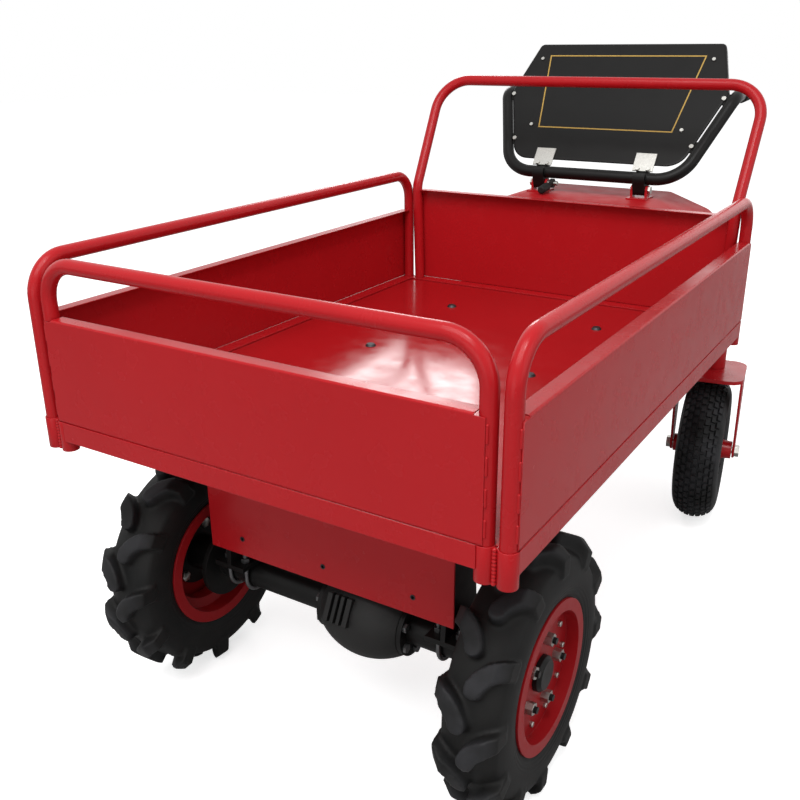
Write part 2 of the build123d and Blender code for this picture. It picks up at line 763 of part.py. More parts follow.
    # Wheel nuts on the studs, and a ring of round-headed rim bolts round them
    with BuildPart() as wheel_nuts:
        with BuildSketch(disc_plane.offset(disc_face)):
            with PolarLocations(rim_bolt_circle / 2, rim_bolt_count):
                Circle(rim_bolt)
        extrude(amount=rim_bolt)
        fillet(wheel_nuts.faces().sort_by(axle)[-rim_bolt_count:].edges(), rim_bolt / 3)
        with BuildSketch(disc_plane.offset(disc_face)):
            with PolarLocations(stud_circle / 2, stud_count):
                RegularPolygon(nut_flats / 2, 6, major_radius=False)
            with PolarLocations(stud_circle / 2, stud_count):
                Circle(stud_diameter / 2, mode=Mode.SUBTRACT)
        extrude(amount=nut_height)
    wheel_nuts.part.label = f"{name}_wheel_nuts"
    export_step(wheel_nuts.part, f"parts/{name}_wheel_nuts.step")

# Casters: a king pin and crown plate with tapered flat fork legs, and a pneumatic wheel that leads the king pin.
# The left one is a little swivelled.
crown_bottom = crown_top - crown_gauge
fork_inner = crown_width / 2 - fork_gauge
caster_half = caster_width / 2
caster_lip = caster_rim_radius + 12
king_top = chassis_top + 6
for side, name, turn in ((1, "left", caster_turn), (-1, "right", 0)):
    post = Vector(side * caster_x, caster_y, 0)
    across = Vector(cos(radians(turn)), sin(radians(turn)), 0)
    ahead = Vector(sin(radians(turn)), -cos(radians(turn)), 0)
    wheel_centre = post + ahead * caster_lead + Vector(0, 0, caster_radius)
    spin = Axis(wheel_centre, across)
    section = Plane(wheel_centre, x_dir=across, z_dir=across.cross(Vector(0, 0, 1)))
    side_plane = Plane(wheel_centre, x_dir=-ahead, z_dir=across)
    crown_plane = Plane(post, x_dir=across, z_dir=(0, 0, 1))

    with BuildPart() as fork:
        with BuildSketch(crown_plane.offset(crown_bottom)):
            with Locations((0, -caster_lead / 2)):
                RectangleRounded(crown_width, crown_length, 30)
        extrude(amount=crown_gauge)
        for s in (-1, 1):
            leg_face = side_plane.offset(s * fork_inner)
            with BuildSketch(leg_face):
                Circle(fork_width / 2)
                with Locations((0, crown_bottom - caster_radius - skirt_depth / 2)):
                    Rectangle(crown_length * 0.6, skirt_depth)
                make_hull()
                Circle(caster_axle / 2 + run_fit, mode=Mode.SUBTRACT)
            extrude(amount=s * fork_gauge)
        with BuildSketch(crown_plane.offset(crown_top)):
            Circle(king_pin / 2)
        extrude(amount=king_top - crown_top)
    fork.part.label = f"{name}_caster_fork"
    export_step(fork.part, f"parts/{name}_caster_fork.step")

    with BuildPart() as caster_axle_pin:
        pin_half = fork_inner + fork_gauge
        with BuildSketch(side_plane.offset(-pin_half)):
            Circle(caster_axle / 2)
        extrude(amount=2 * pin_half)
        for s in (-1, 1):
            with BuildSketch(side_plane.offset(s * pin_half)):
                RegularPolygon(caster_axle * 0.75, 6, major_radius=False)
            extrude(amount=s * caster_axle * 0.6)
    caster_axle_pin.part.label = f"{name}_caster_axle"
    export_step(caster_axle_pin.part, f"parts/{name}_caster_axle.step")

    with BuildPart() as caster_tyre:
        with BuildSketch(section):
            with BuildLine():
                for s in (-1, 1):
                    Polyline(
                        (s * 18, caster_rim_radius + seat_gap),
                        (s * (caster_half - 12), caster_rim_radius + seat_gap),
                        (s * (caster_half - 12), caster_lip),
                    )
                    ThreePointArc(
                        (s * (caster_half - 12), caster_lip),
                        (s * caster_half, caster_radius * 0.74),
                        (s * (caster_half - 10), caster_radius - 16),
                    )
                    ThreePointArc(
                        (s * 18, caster_rim_radius + seat_gap),
                        (s * (caster_half - 8), caster_radius * 0.74),
                        (s * (caster_half - 20), caster_radius - 26),
                    )
                ThreePointArc(
                    (-caster_half + 10, caster_radius - 16),
                    (0, caster_radius),
                    (caster_half - 10, caster_radius - 16),
                )
                ThreePointArc(
                    (-caster_half + 20, caster_radius - 26),
                    (0, caster_radius - 12),
                    (caster_half - 20, caster_radius - 26),
                )
            make_face()
        revolve(axis=spin)
    caster_tyre.part.label = f"{name}_caster_tyre"
    export_step(caster_tyre.part, f"parts/{name}_caster_tyre.step")

    with BuildPart() as caster_rim:
        with BuildSketch(section):
            with BuildLine():
                Polyline(
                    (-caster_half + 8, caster_lip),
                    (-caster_half + 12 - seat_gap, caster_lip),
                    (-caster_half + 12 - seat_gap, caster_rim_radius),
                    (caster_half - 12 + seat_gap, caster_rim_radius),
                    (caster_half - 12 + seat_gap, caster_lip),
                    (caster_half - 8, caster_lip),
                    (caster_half - 8, caster_rim_radius - rim_gauge),
                    (rim_gauge, caster_rim_radius - rim_gauge),
                    (rim_gauge, caster_axle + 8),
                    (fork_inner - 2, caster_axle + 4),
                    (fork_inner - 2, caster_axle / 2 + run_fit),
                    (-fork_inner + 2, caster_axle / 2 + run_fit),
                    (-fork_inner + 2, caster_axle + 4),
                    (-rim_gauge, caster_axle + 8),
                    (-rim_gauge, caster_rim_radius - rim_gauge),
                    (-caster_half + 8, caster_rim_radius - rim_gauge),
                    close=True,
                )
            make_face()
        revolve(axis=spin)
    caster_rim.part.label = f"{name}_caster_rim"
    export_step(caster_rim.part, f"parts/{name}_caster_rim.step")

# King pin bushes: one at each end of both sleeves
bush_length = 25
with BuildPart() as king_pin_bushes:
    for bush_bottom in (sleeve_bottom, chassis_top - bush_length):
        with BuildSketch(Plane.XY.offset(bush_bottom)):
            with Locations((-caster_x, caster_y), (caster_x, caster_y)):
                Circle(sleeve_bore)
            with Locations((-caster_x, caster_y), (caster_x, caster_y)):
                Circle(king_pin / 2 + run_fit, mode=Mode.SUBTRACT)
        extrude(amount=bush_length)
king_pin_bushes.part.label = "king_pin_bushes"
export_step(king_pin_bushes.part, "parts/king_pin_bushes.step")

# Battery tray, four batteries and the motor controller under the rear cover
box_middle = bed_rear + box_front + box_depth / 2
tray_top = chassis_top + tray_gauge
box_plane = Plane((0, box_middle, 0))
with BuildPart() as battery_tray:
    with BuildSketch(box_plane.offset(chassis_top)):
        Rectangle(box_width + 2 * tray_lip, box_depth + 2 * tray_lip)
        with Locations((-caster_x, caster_y - box_middle), (caster_x, caster_y - box_middle)):
            Circle(sleeve_diameter / 2 + tray_lip, mode=Mode.SUBTRACT)
    extrude(amount=tray_gauge)
battery_tray.part.label = "battery_tray"
export_step(battery_tray.part, "parts/battery_tray.step")

battery_pitch = battery_width + battery_gap
terminal = 12
with BuildPart() as batteries:
    with BuildSketch(box_plane.offset(tray_top)):
        with GridLocations(battery_pitch, 0, 4, 1):
            RectangleRounded(battery_width, battery_depth, 3)
    extrude(amount=battery_height - terminal)
    with BuildSketch(box_plane.offset(tray_top + battery_height - terminal)):
        with GridLocations(battery_pitch, battery_depth - 2 * terminal, 4, 2):
            Rectangle(terminal, terminal)
    extrude(amount=terminal)
batteries.part.label = "batteries"
export_step(batteries.part, "parts/batteries.step")

controller_width = 56
controller_length = 150
controller_height = 100
fin_pitch = 16
fin_slot = 9
fin_depth = 12
controller_x = 2 * battery_pitch + controller_width / 2 + 8
with BuildPart() as motor_controller:
    with BuildSketch(Plane((controller_x, box_middle, tray_top))):
        Rectangle(controller_width, controller_length)
        with Locations((controller_width / 2, 0)):
            with GridLocations(0, fin_pitch, 1, 9):
                Rectangle(2 * fin_depth, fin_slot, mode=Mode.SUBTRACT)
    extrude(amount=controller_height)
motor_controller.part.label = "motor_controller"
export_step(motor_controller.part, "parts/motor_controller.step")

# Rear cover: a folded sheet hood over the batteries, with sloping shoulders
with BuildPart() as rear_cover:
    with BuildSketch(Plane.XZ.offset(-(bed_rear + box_front))):
        with BuildLine():
            FilletPolyline(
                (-box_width / 2, tray_top),
                (-box_width / 2, box_shoulder),
                (-box_top_width / 2, box_top),
                (box_top_width / 2, box_top),
                (box_width / 2, box_shoulder),
                (box_width / 2, tray_top),
                radius=box_corner,
            )
            Line((box_width / 2, tray_top), (-box_width / 2, tray_top))
        make_face()
    extrude(amount=-box_depth)
    offset(amount=-cover_gauge, openings=rear_cover.faces().sort_by(Axis.Z)[0])
rear_cover.part.label = "rear_cover"
export_step(rear_cover.part, "parts/rear_cover.step")

# Handle brackets: a clevis each side on top of the cover, low enough for the bar to pass over its cheeks
clevis_x = clevis_spread / 2
clevis_y = bed_rear + clevis_behind
cheek_radius = fold_pin / 2 + cheek_wall
pin_z = bar_height - bar_radius - cheek_clear - cheek_radius
base_gauge = 3
base_length = 56
cheek_inner = arm_width / 2 + side_play
with BuildPart() as handle_brackets:
    for s in (-1, 1):
        with Locations((s * clevis_x, clevis_y, box_top + base_gauge / 2)):
            Box(2 * (cheek_inner + cheek_gauge) + 6, base_length, base_gauge)
        for cheek in (s * clevis_x + cheek_inner, s * clevis_x - cheek_inner - cheek_gauge):
            with BuildSketch(Plane.YZ.offset(cheek)):
                with Locations((clevis_y, pin_z)):
                    Circle(cheek_radius)
                with Locations((clevis_y, box_top + base_gauge)):
                    Rectangle(2 * cheek_radius, pin_z - box_top - base_gauge, align=(Align.CENTER, Align.MIN))
                with Locations((clevis_y, pin_z)):
                    Circle(fold_pin / 2 + run_fit, mode=Mode.SUBTRACT)
            extrude(amount=cheek_gauge)
handle_brackets.part.label = "handle_brackets"
export_step(handle_brackets.part, "parts/handle_brackets.step")

# Fold pins through the clevises. The right-hand one runs on inwards to carry the lock lever.
pin_reach = cheek_inner + cheek_gauge
with BuildPart() as fold_pins:
    for s, inner_reach in ((1, fold_pin / 3), (-1, lock_grip + fold_pin / 2)):
        with BuildSketch(Plane.YZ.offset(s * (clevis_x + pin_reach))):
            with Locations((clevis_y, pin_z)):
                Circle(fold_pin / 2)
        extrude(amount=-s * (2 * pin_reach + inner_reach))
        with BuildSketch(Plane.YZ.offset(s * (clevis_x + pin_reach))):
            with Locations((clevis_y, pin_z)):
                RegularPolygon(fold_pin * 0.75, 6, major_radius=False)
        extrude(amount=s * fold_pin / 2)
fold_pins.part.label = "fold_pins"
export_step(fold_pins.part, "parts/fold_pins.step")

# Fold lock lever: an eye on the right-hand fold pin and a rubber-covered arm drooping forwards to the cover
lock_x = -clevis_x + pin_reach + 2 * side_play + (lock_grip - lock_gauge) / 2
droop_back = Vector(0, cos(radians(lock_droop)), sin(radians(lock_droop)))
lock_plane = Plane((lock_x, clevis_y, pin_z), x_dir=droop_back, z_dir=(1, 0, 0))
lock_arm = Plane(lock_plane.from_local_coords((0, 0, lock_gauge / 2)), z_dir=-droop_back)
with BuildPart() as fold_lock_lever:
    with BuildSketch(lock_plane):
        Circle(cheek_radius)
        with Locations((-lock_length / 4, 0)):
            Rectangle(lock_length / 2, lock_gauge)
        Circle(fold_pin / 2 + run_fit, mode=Mode.SUBTRACT)
    extrude(amount=lock_gauge)
    with BuildSketch(lock_arm.offset(lock_reach)):
        Circle(lock_grip / 2)
    extrude(amount=lock_length - lock_reach)
    fillet(fold_lock_lever.faces().sort_by(Axis(lock_arm.origin, lock_arm.z_dir))[-1].edges(), lock_grip / 4)
fold_lock_lever.part.label = "fold_lock_lever"
export_step(fold_lock_lever.part, "parts/fold_lock_lever.step")

# The handlebar leans back on a plane through its base tube: x across, y up the lean, z towards the bed
lean_up = Vector(0, sin(radians(bar_lean)), cos(radians(bar_lean)))
lean_front = Vector(0, -cos(radians(bar_lean)), sin(radians(bar_lean)))
bar_y = bed_rear + bar_behind
bar_plane = Plane((0, bar_y, bar_height), x_dir=(1, 0, 0), z_dir=lean_front)
panel_back = panel_proud - panel_gauge

# Saddles: a block each side that turns on the fold pin and holds the base tube, closed by a bolted cap
saddle_radius = bar_radius + 8
saddle_split = Plane((0, bar_y, bar_height), x_dir=(1, 0, 0), z_dir=lean_up)
with BuildPart() as handle_saddles:
    for s in (-1, 1):
        with BuildSketch(Plane.YZ.offset(s * clevis_x - arm_width / 2)):
            with Locations((clevis_y, pin_z)):
                Circle(1.2 * fold_pin)
            with Locations((bar_y, bar_height)):
                Circle(saddle_radius)
            make_hull()
            with Locations((clevis_y, pin_z)):
                Circle(fold_pin / 2 + run_fit, mode=Mode.SUBTRACT)
            with Locations((bar_y, bar_height)):
                Circle(bar_radius, mode=Mode.SUBTRACT)
        extrude(amount=arm_width)
    split(bisect_by=saddle_split, keep=Keep.BOTTOM)
handle_saddles.part.label = "handle_saddles"
export_step(handle_saddles.part, "parts/handle_saddles.step")

with BuildPart() as saddle_caps:
    for s in (-1, 1):
        with BuildSketch(Plane.YZ.offset(s * clevis_x - arm_width / 2)):
            with Locations((bar_y, bar_height)):
                Circle(saddle_radius)
                Circle(bar_radius, mode=Mode.SUBTRACT)
        extrude(amount=arm_width)
    split(bisect_by=saddle_split, keep=Keep.TOP)
    with BuildSketch(bar_plane.offset(panel_proud)):
        Rectangle(2 * clevis_spread, 2 * saddle_radius)
    extrude(amount=saddle_radius, mode=Mode.SUBTRACT)
saddle_caps.part.label = "saddle_caps"
export_step(saddle_caps.part, "parts/saddle_caps.step")

# Handlebar: one bent tube from grip to grip, through both saddles, with four tabs that carry the panel
knee_y = bar_y + bar_knee_rise * lean_up.Y
knee_z = bar_height + bar_knee_rise * lean_up.Z
grip_y = bed_rear + grip_behind
leg_slope = (bar_knee - bar_base) / 2 / bar_knee_rise
edge_inset = (bar_radius + seat_gap) * sqrt(1 + leg_slope**2)
tab_gauge = 3
tab_rises = (tab_rise, tab_rise + tab_pitch)
bar_ends = [Vector(s * grip_spread / 2, grip_y, knee_z) for s in (-1, 1)]
bar_knees = [Vector(s * bar_knee / 2, knee_y, knee_z) for s in (-1, 1)]
grip_lines = [(end - knee).normalized() for end, knee in zip(bar_ends, bar_knees)]
tube_ends = [end - line * grip_end for end, line in zip(bar_ends, grip_lines)]
bar_feet = [Vector(s * bar_base / 2, bar_y, bar_height) for s in (-1, 1)]
bar_route = [tube_ends[0], bar_knees[0], bar_feet[0], bar_feet[1], bar_knees[1], tube_ends[1]]
bar_bends = [bar_knee_corner, bar_base_corner, bar_base_corner, bar_knee_corner]
with BuildPart() as handlebar:
    with BuildLine():
        FilletPolyline(*bar_route, radius=bar_bends)
    with BuildSketch(Plane(tube_ends[0], z_dir=-grip_lines[0])):
        Circle(bar_radius)
        Circle(bar_radius - bar_wall, mode=Mode.SUBTRACT)
    sweep()
    with BuildSketch(bar_plane.offset(panel_back - tab_gauge)):
        for s in (-1, 1):
            for rise in tab_rises:
                with Locations((s * (bar_base / 2 + leg_slope * rise - bar_diameter), rise)):
                    Rectangle(bar_diameter + 4 * bar_wall, bar_diameter)
    extrude(amount=tab_gauge)
    with BuildLine():
        FilletPolyline(*bar_route, radius=bar_bends)
    with BuildSketch(Plane(tube_ends[0], z_dir=-grip_lines[0])):
        Circle(bar_radius - bar_wall)
    sweep(mode=Mode.SUBTRACT)
handlebar.part.label = "handlebar"
export_step(handlebar.part, "parts/handlebar.step")

# Console panel: a six-sided sheet inside the bar's legs, folded back round its upper edges
panel_edge = bar_base / 2 - edge_inset
panel_knee_half = panel_edge + leg_slope * bar_knee_rise
towards_bed = Axis(bar_plane.origin, lean_front)
with BuildPart() as console_panel:
    with BuildSketch(bar_plane.offset(panel_proud - hood_depth)):
        with BuildLine():
            FilletPolyline(
                (panel_edge + leg_slope * panel_bottom, panel_bottom),
                (panel_knee_half, bar_knee_rise),
                (panel_top_width / 2, panel_top),
                (-panel_top_width / 2, panel_top),
                (-panel_knee_half, bar_knee_rise),
                (-panel_edge - leg_slope * panel_bottom, panel_bottom),
                radius=[bar_base_corner - panel_bottom, 12, 12, 12, 12, bar_base_corner - panel_bottom],
                close=True,
            )
        make_face()
    extrude(amount=hood_depth)
    fillet(console_panel.faces().sort_by(towards_bed)[-1].edges(), panel_round)
    offset(amount=-panel_gauge, openings=console_panel.faces().sort_by(towards_bed)[0])
    with BuildSketch(bar_plane.offset(panel_back)):
        with Locations((0, bar_knee_rise / 2)):
            Rectangle(2 * bar_knee, bar_knee_rise + 2 * panel_round)
    extrude(amount=-hood_depth, mode=Mode.SUBTRACT)
console_panel.part.label = "console_panel"
export_step(console_panel.part, "parts/console_panel.step")

# Straps: bright plates from the saddle caps up over the panel's lower edge
with BuildPart() as clamp_straps:
    with BuildSketch(bar_plane.offset(panel_proud)):
        for s in (-1, 1):
            with Locations((s * clevis_x, (strap_rise + bar_radius) / 2)):
                Rectangle(strap_width, strap_rise - bar_radius)
    extrude(amount=strap_gauge)
clamp_straps.part.label = "clamp_straps"
export_step(clamp_straps.part, "parts/clamp_straps.step")

# Panel screws: four round heads at the corners of the console, a bolt at each tab and two on each strap
low_screw_x = panel_edge + leg_slope * low_screw_rise - low_screw_inset
screw_points = [(s * (panel_top_width / 2 - screw_inset), panel_top - screw_drop) for s in (-1, 1)]
screw_points += [(s * low_screw_x, low_screw_rise) for s in (-1, 1)]
tab_points = [(s * (panel_edge + leg_slope * rise - 5), rise) for s in (-1, 1) for rise in tab_rises]
strap_points = [(s * clevis_x + side * strap_width / 4, bar_radius + 5) for s in (-1, 1) for side in (-1, 1)]
with BuildPart() as panel_screws:
    with BuildSketch(bar_plane.offset(panel_proud)):
        with Locations(*screw_points):
            Circle(screw_head / 2)
        with Locations(*tab_points):
            Circle(screw_head * 0.6)
    extrude(amount=screw_head / 3)
    with BuildSketch(bar_plane.offset(panel_proud + strap_gauge)):
        with Locations(*strap_points):
            RegularPolygon(screw_head * 0.6, 6, major_radius=False)
    extrude(amount=screw_head / 2)
panel_screws.part.label = "panel_screws"
export_step(panel_screws.part, "parts/panel_screws.step")

# Console box: behind the panel, open towards it, with its controls on the roof that faces the operator
console_middle = panel_back - console_depth / 2
console_centre = bar_plane.from_local_coords((0, console_top, console_middle))
console_deck = Plane(console_centre, x_dir=(1, 0, 0), z_dir=lean_up)
bezel_rise = 6
key_shank = 6
key_barrel = 22
rocker_pin = 4
rocker_level = bezel_rise - 3
stop_collar = 26
stop_stem = 14
with BuildPart() as console_box:
    with BuildSketch(bar_plane.offset(panel_back - console_depth)):
        with Locations((0, (console_bottom + console_top) / 2)):
            RectangleRounded(console_width, console_top - console_bottom, 8)
    extrude(amount=console_depth)
    with BuildSketch(bar_plane.offset(panel_back - console_depth + console_wall)):
        with Locations((0, (console_bottom + console_top) / 2)):
            Rectangle(console_width - 2 * console_wall - 8, console_top - console_bottom - 2 * console_wall)
    extrude(amount=console_depth - console_wall, mode=Mode.SUBTRACT)
    with BuildSketch(console_deck):
        with Locations((key_x, 0)):
            Circle(key_barrel / 2)
        with Locations((rocker_x, 0)):
            Rectangle(rocker_width + 12, rocker_length + 10)
        with Locations((stop_x, 0)):
            Circle(stop_collar / 2)
    extrude(amount=bezel_rise)
    with BuildSketch(console_deck.offset(bezel_rise)):
        with Locations((key_x, 0)):
            Circle(key_shank / 2 + run_fit)
        with Locations((rocker_x, 0)):
            Rectangle(rocker_width + 2 * side_play, rocker_length + 6)
        with Locations((stop_x, 0)):
            Circle(stop_stem / 2 + run_fit)
        with Locations((0, 0)):
            Circle(gauge_diameter / 2 - 6)
    extrude(amount=-(bezel_rise + 2 * console_wall), mode=Mode.SUBTRACT)
    with BuildSketch(Plane(console_deck.from_local_coords((rocker_x, 0, rocker_level)), z_dir=(1, 0, 0))):
        Circle(rocker_pin / 2 + run_fit)
    extrude(amount=rocker_width / 2 + 4, both=True, mode=Mode.SUBTRACT)
console_box.part.label = "console_box"
export_step(console_box.part, "parts/console_box.step")

# Battery gauge: a round dial in the middle of the console's roof
with BuildPart() as battery_gauge:
    with BuildSketch(console_deck.offset(-2 * console_wall)):
        Circle(gauge_diameter / 2 - 6 - seat_gap)
    extrude(amount=2 * console_wall)
    with BuildSketch(console_deck):
        Circle(gauge_diameter / 2)
    extrude(amount=bezel_rise)
    with BuildSketch(console_deck.offset(bezel_rise)):
        Circle(gauge_diameter / 2 - 4)
    extrude(amount=-2, mode=Mode.SUBTRACT)
battery_gauge.part.label = "battery_gauge"
export_step(battery_gauge.part, "parts/battery_gauge.step")

# Key: a round shank in the lock barrel and a flat bow above it
bow_plane = Plane(console_deck.from_local_coords((key_x, 0, bezel_rise)), x_dir=(1, 0, 0), z_dir=lean_front)
with BuildPart() as key:
    with BuildSketch(console_deck.offset(side_play)):
        with Locations((key_x, 0)):
            Circle(key_shank / 2)
    extrude(amount=bezel_rise + 4)
    with BuildSketch(bow_plane):
        with Locations((0, 16)):
            RectangleRounded(22, 20, 6)
        with Locations((0, 19)):
            Circle(4, mode=Mode.SUBTRACT)
        with Locations((0, 5)):
            Rectangle(key_shank, 6)
    extrude(amount=1.5, both=True)
key.part.label = "key"
export_step(key.part, "parts/key.step")

# Direction rocker: a curved paddle that tilts on a pin across its bezel
rocker_centre = console_deck.from_local_coords((rocker_x, 0, rocker_level))
rocker_plane = Plane(rocker_centre, x_dir=-lean_front, z_dir=(1, 0, 0))
with BuildPart() as direction_rocker:
    with BuildSketch(rocker_plane):
        with BuildLine():
            Line((-rocker_length / 2, 6), (-rocker_length / 2, -1))
            ThreePointArc((-rocker_length / 2, -1), (0, -6), (rocker_length / 2, -1))
            Line((rocker_length / 2, -1), (rocker_length / 2, 6))
            ThreePointArc((rocker_length / 2, 6), (0, 4), (-rocker_length / 2, 6))
        make_face()
    extrude(amount=rocker_width / 2, both=True)
    with BuildSketch(rocker_plane):
        Circle(rocker_pin / 2)
    extrude(amount=rocker_width / 2 + 3, both=True)
direction_rocker.part.label = "direction_rocker"
export_step(direction_rocker.part, "parts/direction_rocker.step")

# Stop button: a mushroom head on a stem that slides in its collar
with BuildPart() as stop_button:
    with BuildSketch(console_deck.offset(-console_wall)):
        with Locations((stop_x, 0)):
            Circle(stop_stem / 2)
    extrude(amount=console_wall + bezel_rise + stop_travel + 2)
    with BuildSketch(console_deck.offset(bezel_rise + stop_travel + 1)):
        with Locations((stop_x, 0)):
            Circle(stop_diameter / 2)
    extrude(amount=12)
    fillet(stop_button.faces().sort_by(Axis(console_deck.origin, lean_up))[-1].edges(), 5)
stop_button.part.label = "stop_button"
export_step(stop_button.part, "parts/stop_button.step")

# Grips: a rubber sleeve on the left, and on the right a twist sleeve behind a housing that carries the brake lever
grip_planes = [Plane(end, x_dir=(0, 0, 1), z_dir=line) for end, line in zip(bar_ends, grip_lines)]
right_grip, left_grip = grip_planes
with BuildPart() as plain_grip:
    with BuildSketch(left_grip):
        Circle(grip_diameter / 2)
    extrude(amount=-grip_length)
    with BuildSketch(left_grip.offset(-grip_end)):
        Circle(bar_radius)
    extrude(amount=-grip_length, mode=Mode.SUBTRACT)
plain_grip.part.label = "plain_grip"
export_step(plain_grip.part, "parts/plain_grip.step")

with BuildPart() as throttle_grip:
    with BuildSketch(right_grip):
        Circle(grip_diameter / 2)
    extrude(amount=-grip_length)
    with BuildSketch(right_grip.offset(-grip_end + seat_gap)):
        Circle(bar_radius + seat_gap)
    extrude(amount=-grip_length, mode=Mode.SUBTRACT)
throttle_grip.part.label = "throttle_grip"
export_step(throttle_grip.part, "parts/throttle_grip.step")

housing_length = 24
housing_radius = bar_radius + 7
housing_start = grip_length + side_play
lever_at = housing_start + housing_length / 2
lever_half = 5
lever_pin = 6
lever_swing = Plane(
    right_grip.from_local_coords((-lever_drop, 0, -lever_at)), x_dir=grip_lines[0], z_dir=right_grip.y_dir
)
with BuildPart() as throttle_housing:
    with BuildSketch(right_grip.offset(-housing_start)):
        Circle(housing_radius)
        with Locations((-lever_drop / 2, 0)):
            Rectangle(lever_drop, 2 * lever_half + 10)
        Circle(bar_radius, mode=Mode.SUBTRACT)
    extrude(amount=-housing_length)
    with BuildSketch(lever_swing):
        Circle(lever_pin + 2)
    extrude(amount=lever_half + 5, both=True)
    with BuildSketch(lever_swing):
        Circle(lever_pin + 3)
        with Locations((housing_length, 0)):
            Rectangle(2 * housing_length, 2 * lever_pin + 6)
    extrude(amount=lever_half + side_play, both=True, mode=Mode.SUBTRACT)
    with BuildSketch(lever_swing):
        Circle(lever_pin / 2)
    extrude(amount=lever_half + 5, both=True)
throttle_housing.part.label = "throttle_housing"
export_step(throttle_housing.part, "parts/throttle_housing.step")

# Brake lever: under the right grip, pulled up towards it
lever_reach = grip_length - 10
with BuildPart() as brake_lever:
    with BuildSketch(lever_swing):
        Circle(lever_pin)
        with BuildLine():
            Polyline(
                (0, -lever_pin + 1),
                (lever_reach * 0.4, -16),
                (lever_reach, -14),
                (lever_reach, -7),
                (lever_reach * 0.4, -8),
                (0, lever_pin - 1),
                close=True,
            )
        make_face()
        with Locations((lever_reach, -10)):
            Circle(lever_pin)
        Circle(lever_pin / 2 + run_fit, mode=Mode.SUBTRACT)
    extrude(amount=lever_half, both=True)
brake_lever.part.label = "brake_lever"
export_step(brake_lever.part, "parts/brake_lever.step")
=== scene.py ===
from math import atan2, cos, hypot, pi, radians, sin

import bpy
from mathutils import Matrix, Vector


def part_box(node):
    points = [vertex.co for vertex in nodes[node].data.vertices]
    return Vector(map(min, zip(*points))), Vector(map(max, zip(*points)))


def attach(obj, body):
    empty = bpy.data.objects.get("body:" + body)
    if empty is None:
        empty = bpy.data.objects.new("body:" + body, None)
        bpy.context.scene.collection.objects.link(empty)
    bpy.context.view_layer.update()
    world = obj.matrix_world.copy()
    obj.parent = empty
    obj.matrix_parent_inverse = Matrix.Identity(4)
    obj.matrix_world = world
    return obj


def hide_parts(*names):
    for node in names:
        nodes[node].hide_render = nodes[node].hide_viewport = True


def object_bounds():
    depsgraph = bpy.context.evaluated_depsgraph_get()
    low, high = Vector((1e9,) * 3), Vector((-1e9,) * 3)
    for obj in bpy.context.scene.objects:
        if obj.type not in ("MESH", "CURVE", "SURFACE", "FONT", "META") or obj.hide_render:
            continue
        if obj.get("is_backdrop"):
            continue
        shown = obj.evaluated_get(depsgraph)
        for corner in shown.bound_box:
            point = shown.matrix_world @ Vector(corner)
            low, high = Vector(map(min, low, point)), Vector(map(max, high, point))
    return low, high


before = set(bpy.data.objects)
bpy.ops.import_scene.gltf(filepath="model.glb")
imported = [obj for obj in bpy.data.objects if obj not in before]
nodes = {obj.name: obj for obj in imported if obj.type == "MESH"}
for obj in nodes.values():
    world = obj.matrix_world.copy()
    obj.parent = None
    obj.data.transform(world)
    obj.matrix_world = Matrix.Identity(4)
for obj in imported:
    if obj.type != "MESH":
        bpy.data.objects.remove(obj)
cad_low, cad_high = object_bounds()

# Camera: it stands off the front left corner at chest height and looks down into the bed, as the photograph
# does. The lens is a little longer than a phone's.
camera_place = (0.74395, -1.5426, 1.0468)
heading = Matrix.Rotation(radians(32.06), 4, "Z")
tilt = Matrix.Rotation(radians(90 - 21.363), 4, "X")
roll = Matrix.Rotation(radians(-0.461), 4, "Z")
camera_data = bpy.data.cameras.new("camera")
camera_data.sensor_width = 36
camera_data.lens = 41.35
camera = bpy.data.objects.new("camera", camera_data)
bpy.context.scene.collection.objects.link(camera)
camera.matrix_world = Matrix.Translation(camera_place) @ heading @ tilt @ roll
bpy.context.scene.camera = camera
bpy.context.scene.view_settings.view_transform = "Standard"


# Studio: a pale seamless floor in a white surround that the camera and the reflections see at full strength.
# Soft lamps stand where a workshop's doors, windows and ceiling lights would. The floor looks pale, but
# throws back only as much light as a grey yard does, so that the machine's underside stays dark.
def linear(code):
    """An sRGB hex colour as the linear values that a shader takes."""
    parts = [int(code[i : i + 2], 16) / 255 for i in (1, 3, 5)]
    return [p / 12.92 if p <= 0.04045 else ((p + 0.055) / 1.055) ** 2.4 for p in parts] + [1.0]


def add_node(tree, kind, inputs=None, **settings):
    """One shader node with its settings, its values and what is linked into it."""
    made = tree.nodes.new(kind)
    for key, value in settings.items():
        setattr(made, key, value)
    for key, value in (inputs or {}).items():
        if isinstance(value, bpy.types.NodeSocket):
            tree.links.new(value, made.inputs[key])
        else:
            made.inputs[key].default_value = value
    return made


bpy.ops.object.select_all(action="DESELECT")
bpy.ops.mesh.primitive_plane_add(size=30, location=(0, 0, 0))
floor = bpy.context.object
floor.name = "studio_floor"
floor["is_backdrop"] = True
pale = bpy.data.materials.new("studio_floor_paint")
pale.use_nodes = True
tree = pale.node_tree
tree.nodes.clear()
path = add_node(tree, "ShaderNodeLightPath")
matt = add_node(tree, "ShaderNodeBsdfDiffuse", {"Color": linear("#f2f2f2")})
dull = add_node(tree, "ShaderNodeBsdfDiffuse", {"Color": linear("#bdbdbd")})
glow = add_node(tree, "ShaderNodeEmission", {"Color": linear("#ffffff"), "Strength": 0.68})
both = add_node(tree, "ShaderNodeAddShader", {0: matt.outputs[0], 1: glow.outputs[0]})
shown = add_node(
    tree, "ShaderNodeMixShader", {0: path.outputs["Is Camera Ray"], 1: dull.outputs[0], 2: both.outputs[0]}
)
add_node(tree, "ShaderNodeOutputMaterial", {"Surface": shown.outputs[0]})
floor.data.materials.append(pale)

